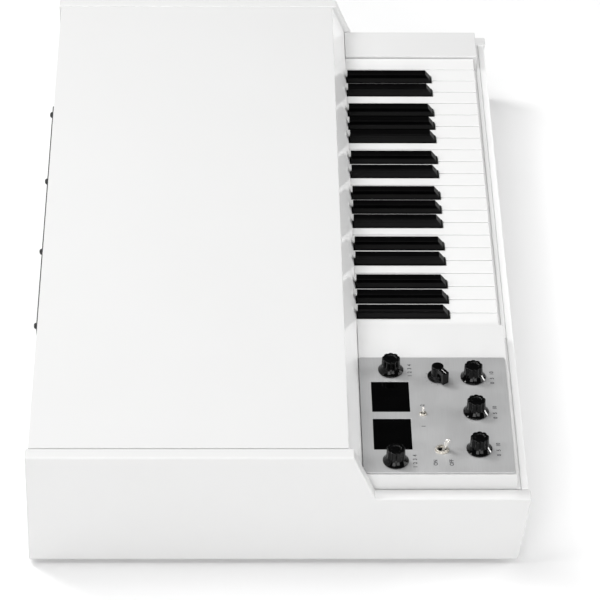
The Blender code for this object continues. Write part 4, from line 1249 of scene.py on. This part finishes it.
@dataclass
class SocketPlate:
    """The black steel plate at the rear with its sockets and screws."""

    recipes: Recipes
    shift: float = 0.0127
    half: float = 0.20725
    low: float = 0.049
    high: float = 0.123
    inner: float = 0.2469
    thickness: float = 0.002
    columns: int = 4
    spacing: float = 0.1315
    screw_radius: float = 0.0032
    screw_height: float = 0.0030
    row: float = 0.086
    inlet: float = -0.150
    inlet_half: Flat = (0.01225, 0.0085)
    inlet_shoulder: Flat = (0.0085, 0.0045)
    inlet_corner: float = 0.0006
    inlet_growth: float = 1.12
    inlet_walls: Flat = (-0.016, 0.0003)
    inlet_lip: Flat = (0.0015, 0.0028)
    inlet_floor: Flat = (-0.0178, -0.0158)
    blade_spacing: float = 0.0070
    rounds: tuple[float, ...] = (-0.095, -0.065)
    round_hole: float = 0.0076
    pin_circle: float = 0.0045
    jacks: tuple[float, ...] = (-0.020, 0.020, 0.060, 0.095)
    jack_hole: float = 0.0050
    neck_radius: float = 0.0046
    nut_turn: float = 1.0
    body_half: float = 0.007
    corner: float = 0.003
    screw_inset: float = 0.0064

    def upright(self) -> Matrix:
        """Return what turns a mesh made flat, with its +Z to the rear, into its place."""
        return Matrix(((-1, 0, 0, 0), (0, 0, 1, self.inner), (0, 1, 0, 0), (0, 0, 0, 1)))

    def row_of(self, name: str, unit: Mesh, points: list[Point], finish: Finish, turn: float = 0.0) -> None:
        """Stand a row of units on the sheet, at points given on it while it lies flat."""
        self.recipes.hardware(name, unit, points, finish, "sheet_steel", turn, stand=self.upright())

    def build(self) -> None:
        """Build the plate, its sockets and its screws."""
        left, right = -(self.shift + self.half), -(self.shift - self.half)
        x, y = -(self.shift + self.inlet), self.row
        (w, h), (v, u) = self.inlet_half, self.inlet_shoulder
        hole = [(x - w, y - h), (x + w, y - h), (x + w, y + u), (x + v, y + h), (x - v, y + h), (x - w, y + u)]
        loops = [Shop.filleted(Shop.oblong((left, self.low), (right, self.high)), self.corner),
                 Shop.filleted(hole, self.inlet_corner)]
        for places, radius in ((self.rounds, self.round_hole), (self.jacks, self.jack_hole)):
            loops += [Shop.ring(radius, 40, (-(self.shift + place), y)) for place in places]
        sheet = Shop.cut_sheet("socket_sheet", loops, 0.0, self.thickness, 0.0003)
        sheet.transform(self.upright())
        Shop.piece("socket_sheet", sheet, BLACK_STEEL, "sheet_steel", stands_for="connector_plate")
        self.screws()
        self.mains_inlet(x, hole)
        self.round_sockets()
        self.jack_sockets()

    def screws(self) -> None:
        """Build the eight screws."""
        unit = Screw(self.screw_radius, self.screw_height, 0.0016, dome=0.5).mesh()
        rear = self.inner + self.thickness
        edges = (self.low + self.screw_inset, self.high - self.screw_inset)
        points = [(self.shift + (i - (self.columns - 1) / 2) * self.spacing, rear, z)
                  for i in range(self.columns) for z in edges]
        self.recipes.hardware("plate_screws", unit, points, BLACK_STEEL, "sheet_steel", Screw.loose, -math.pi / 2)

    def mains_inlet(self, x: float, hole: Outline) -> None:
        """Build the inlet's shell and its three blades.

        Args:
            x: Its place along the flat sheet.
            hole: The hole's outline in the sheet.
        """
        centre = Vector((x, self.row))
        grown = [tuple(centre + (Vector(p) - centre) * self.inlet_growth) for p in hole]
        outer, inner = Shop.filleted(grown, 0.001), Shop.filleted(hole, self.inlet_corner)
        walls = Shop.cut_sheet("inlet_walls", [outer, inner], *self.inlet_walls, 0.0001)
        lip = Shop.cut_sheet("inlet_lip", [outer, inner], *self.inlet_lip, 0.0003)
        floor = Shop.cut_sheet("inlet_floor", [outer], *self.inlet_floor, 0.0002)
        shell = Shop.merged("inlet_shell", [walls, lip, floor])
        shell.transform(self.upright())
        Shop.piece("inlet_shell", shell, SOCKET_BLACK, "sheet_steel")
        blade = Shop.block("blade", (-0.0010, -0.0020, 0.0), (0.0010, 0.0020, 0.0105), 0.0004)
        apart, foot = self.blade_spacing, self.inlet_walls[0]
        seats = [(x - apart, self.row - 0.002, foot), (x, self.row + 0.0022, foot), (x + apart, self.row - 0.002, foot)]
        self.row_of("inlet_blades", blade, seats, NICKEL)

    def round_sockets(self) -> None:
        """Build the two round data sockets."""
        bore = self.round_hole
        shell = [(bore, -0.0088), (bore, 0.0028), (0.0090, 0.0028), (0.0094, 0.0020), (0.0094, 0.0), (0.0090, -0.0108),
                 (0.0, -0.0108)]
        unit = Shop.turned("round_socket", Shop.filleted(shell, 0.0003, 2, closed=False), 40)
        floor = Shop.turned("floor", [(0.0, -0.0080), (0.0074, -0.0080), (0.0074, -0.0090), (0.0, -0.0090)], 40)
        pin = Shop.turned("pin", [(0.0, 0.0004), (0.0006, 0.0004), (0.0009, 0.0), (0.0, 0.0)], 12)
        places = [(-(self.shift + p), self.row, 0.0) for p in self.rounds]
        arc = [math.radians(a) for a in (0.0, 45.0, 90.0, 135.0, 180.0)]
        r = self.pin_circle
        seats = [(x + r * math.cos(a), y - r * math.sin(a), -0.0080) for x, y, _ in places for a in arc]
        self.row_of("data_shells", unit, places, NICKEL)
        self.row_of("data_floors", floor, places, SOCKET_BLACK)
        self.row_of("data_pins", pin, seats, NICKEL)

    def jack_sockets(self) -> None:
        """Build the four jack sockets: washer, hexagon nut, threaded neck and body."""
        places = [(-(self.shift + p), self.row, 0.0) for p in self.jacks]
        wide = self.neck_radius
        neck = [(0.00325, -0.0220), (0.00325, 0.0044), (0.0034, 0.0046), (0.0044, 0.0046), (wide, 0.0043),
                (wide, -0.001), (0.0060, -0.001), (0.0060, -0.0220)]
        tube = Shop.turned("neck", [*neck, neck[0]], 40)
        washer = Shop.turned("washer", [(wide, 0.0020), (0.0068, 0.0020), (0.0070, 0.0022), (0.0070, 0.0024),
                                        (0.0068, 0.0026), (wide, 0.0026), (wide, 0.0020)], 40)
        bore = Shop.ring(wide, 32)
        nut = Shop.cut_sheet("nut", [Shop.filleted(Shop.ring(0.0064, 6), 0.0005), bore], 0.0026, 0.0042, 0.0003)
        unit = Shop.merged("jack", [tube, washer, nut])
        self.row_of("jack_metal", unit, places, NICKEL, self.nut_turn)
        half = self.body_half
        holder = Shop.filleted(Shop.oblong((-half, -half), (half, half)), 0.0008)
        box = Shop.cut_sheet("jack_box", [holder, bore], -0.0215, -0.0002, 0.0003)
        self.row_of("jack_boxes", box, places, SOCKET_BLACK)


# The studio

@dataclass
class Studio:
    """A pale floor, soft lamps and the camera at the photograph's angle."""

    sensor: float = 36.0
    image_side: float = 600.0
    focal: float = 3564.10463
    yaw: float = -0.02139
    pitch: float = 0.63932
    roll: float = -0.01353
    eye: Point = (-3.14008, 0.03909, 2.34834)
    floor_reach: float = 40.0
    floor_tone: float = 0.80
    floor_glow: float = 0.12
    world_tone: float = 0.05
    lamps: dict[str, tuple[Point, float, float]] = field(default_factory=lambda: {
        "key": ((0.9, 1.5, 2.2), 0.8, 32.0),
        "back_overhead": ((0.3, 0.9, 2.4), 0.7, 6.5),
        "rear_overhead": ((0.2, 0.7, 2.6), 1.4, 12.0),
        "overhead": ((0.1, 0.0, 2.3), 1.4, 8.0),
        "near_overhead": ((-1.3, 0.1, 2.6), 1.8, 10.0),
        "front_fill": ((0.2, -3.2, 1.5), 2.4, 64.0),
        "side_fill": ((-3.2, -1.2, 1.0), 1.6, 34.0),
        "rear_side_fill": ((-3.4, 0.9, 1.5), 1.6, 43.0),
        "rear_softbox": ((-0.70, 2.3, 1.90), 0.34, 13.0)})

    def camera(self) -> None:
        """Place the camera."""
        forward = Vector((math.cos(self.pitch) * math.cos(self.yaw), math.cos(self.pitch) * math.sin(self.yaw),
                          -math.sin(self.pitch)))
        right = Vector((math.sin(self.yaw), -math.cos(self.yaw), 0.0))
        down = forward.cross(right)
        across = math.cos(self.roll) * right + math.sin(self.roll) * down
        below = -math.sin(self.roll) * right + math.cos(self.roll) * down
        turn = Matrix((across, -below, -forward)).transposed().to_4x4()
        data = bpy.data.cameras.new("studio_camera")
        data.sensor_width = self.sensor
        data.lens = self.focal / self.image_side * self.sensor
        data.clip_end = 200.0
        thing = Shop.link("studio_camera", data)
        thing.matrix_world = Matrix.Translation(self.eye) @ turn
        bpy.context.scene.camera = thing

    def lamp(self, name: str, place: Point, size: float, power: float) -> None:
        """Hang one square soft lamp that faces the instrument.

        Args:
            name: Its name.
            place: Where it hangs.
            size: Its side.
            power: Its power in watts.
        """
        data = bpy.data.lights.new(name, "AREA")
        data.size = size
        data.energy = power
        thing = Shop.link(name, data)
        thing.location = place
        thing.rotation_euler = (-Vector(place)).to_track_quat("-Z", "Y").to_euler()

    def floor(self) -> None:
        """Lay the pale floor, which shows white where no shadow falls."""
        shells = bmesh.new()
        bmesh.ops.create_grid(shells, x_segments=1, y_segments=1, size=self.floor_reach)
        mesh = bpy.data.meshes.new("studio_floor")
        shells.to_mesh(mesh)
        shells.free()
        palette = Palette("studio_floor")
        shader = palette.shader
        shader.inputs["Base Color"].default_value = (self.floor_tone,) * 3 + (1.0,)
        shader.inputs["Roughness"].default_value = 0.9
        shader.inputs["Specular IOR Level"].default_value = 0.0
        shader.inputs["Emission Color"].default_value = (1.0, 1.0, 1.0, 1.0)
        rays = palette.node("ShaderNodeLightPath").outputs
        seen = rays["Is Camera Ray"]
        for name in ("Is Glossy Ray", "Is Transmission Ray"):
            seen = palette.math("MAXIMUM", seen, rays[name])
        palette.feed(palette.math("MULTIPLY", seen, self.floor_glow), "Emission Strength")
        mesh.materials.append(palette.material)
        Shop.link("studio_floor", mesh)

    def build(self) -> None:
        """Build the floor, the lamps, the world and the camera."""
        scene = bpy.context.scene
        world = bpy.data.worlds.new("studio")
        world.use_nodes = True
        world.node_tree.nodes["Background"].inputs["Color"].default_value = (self.world_tone,) * 3 + (1.0,)
        scene.world = world
        scene.view_settings.view_transform = "Standard"
        self.floor()
        for name, (place, size, power) in self.lamps.items():
            self.lamp(name, place, size, power)
        self.camera()
        LOG.info("studio: %d lamps", len(self.lamps))


def main() -> None:
    """Build the studio, then the instrument piece by piece."""
    logging.basicConfig(level=logging.INFO, format="%(name)s: %(message)s")
    recipes = Recipes()
    Studio().build()
    Cabinet(recipes).build()
    Keys().build()
    Controls(recipes).build()
    SocketPlate(recipes).build()
    Shop.refinished("main_board", CIRCUIT)


if __name__ == "__main__":
    main()
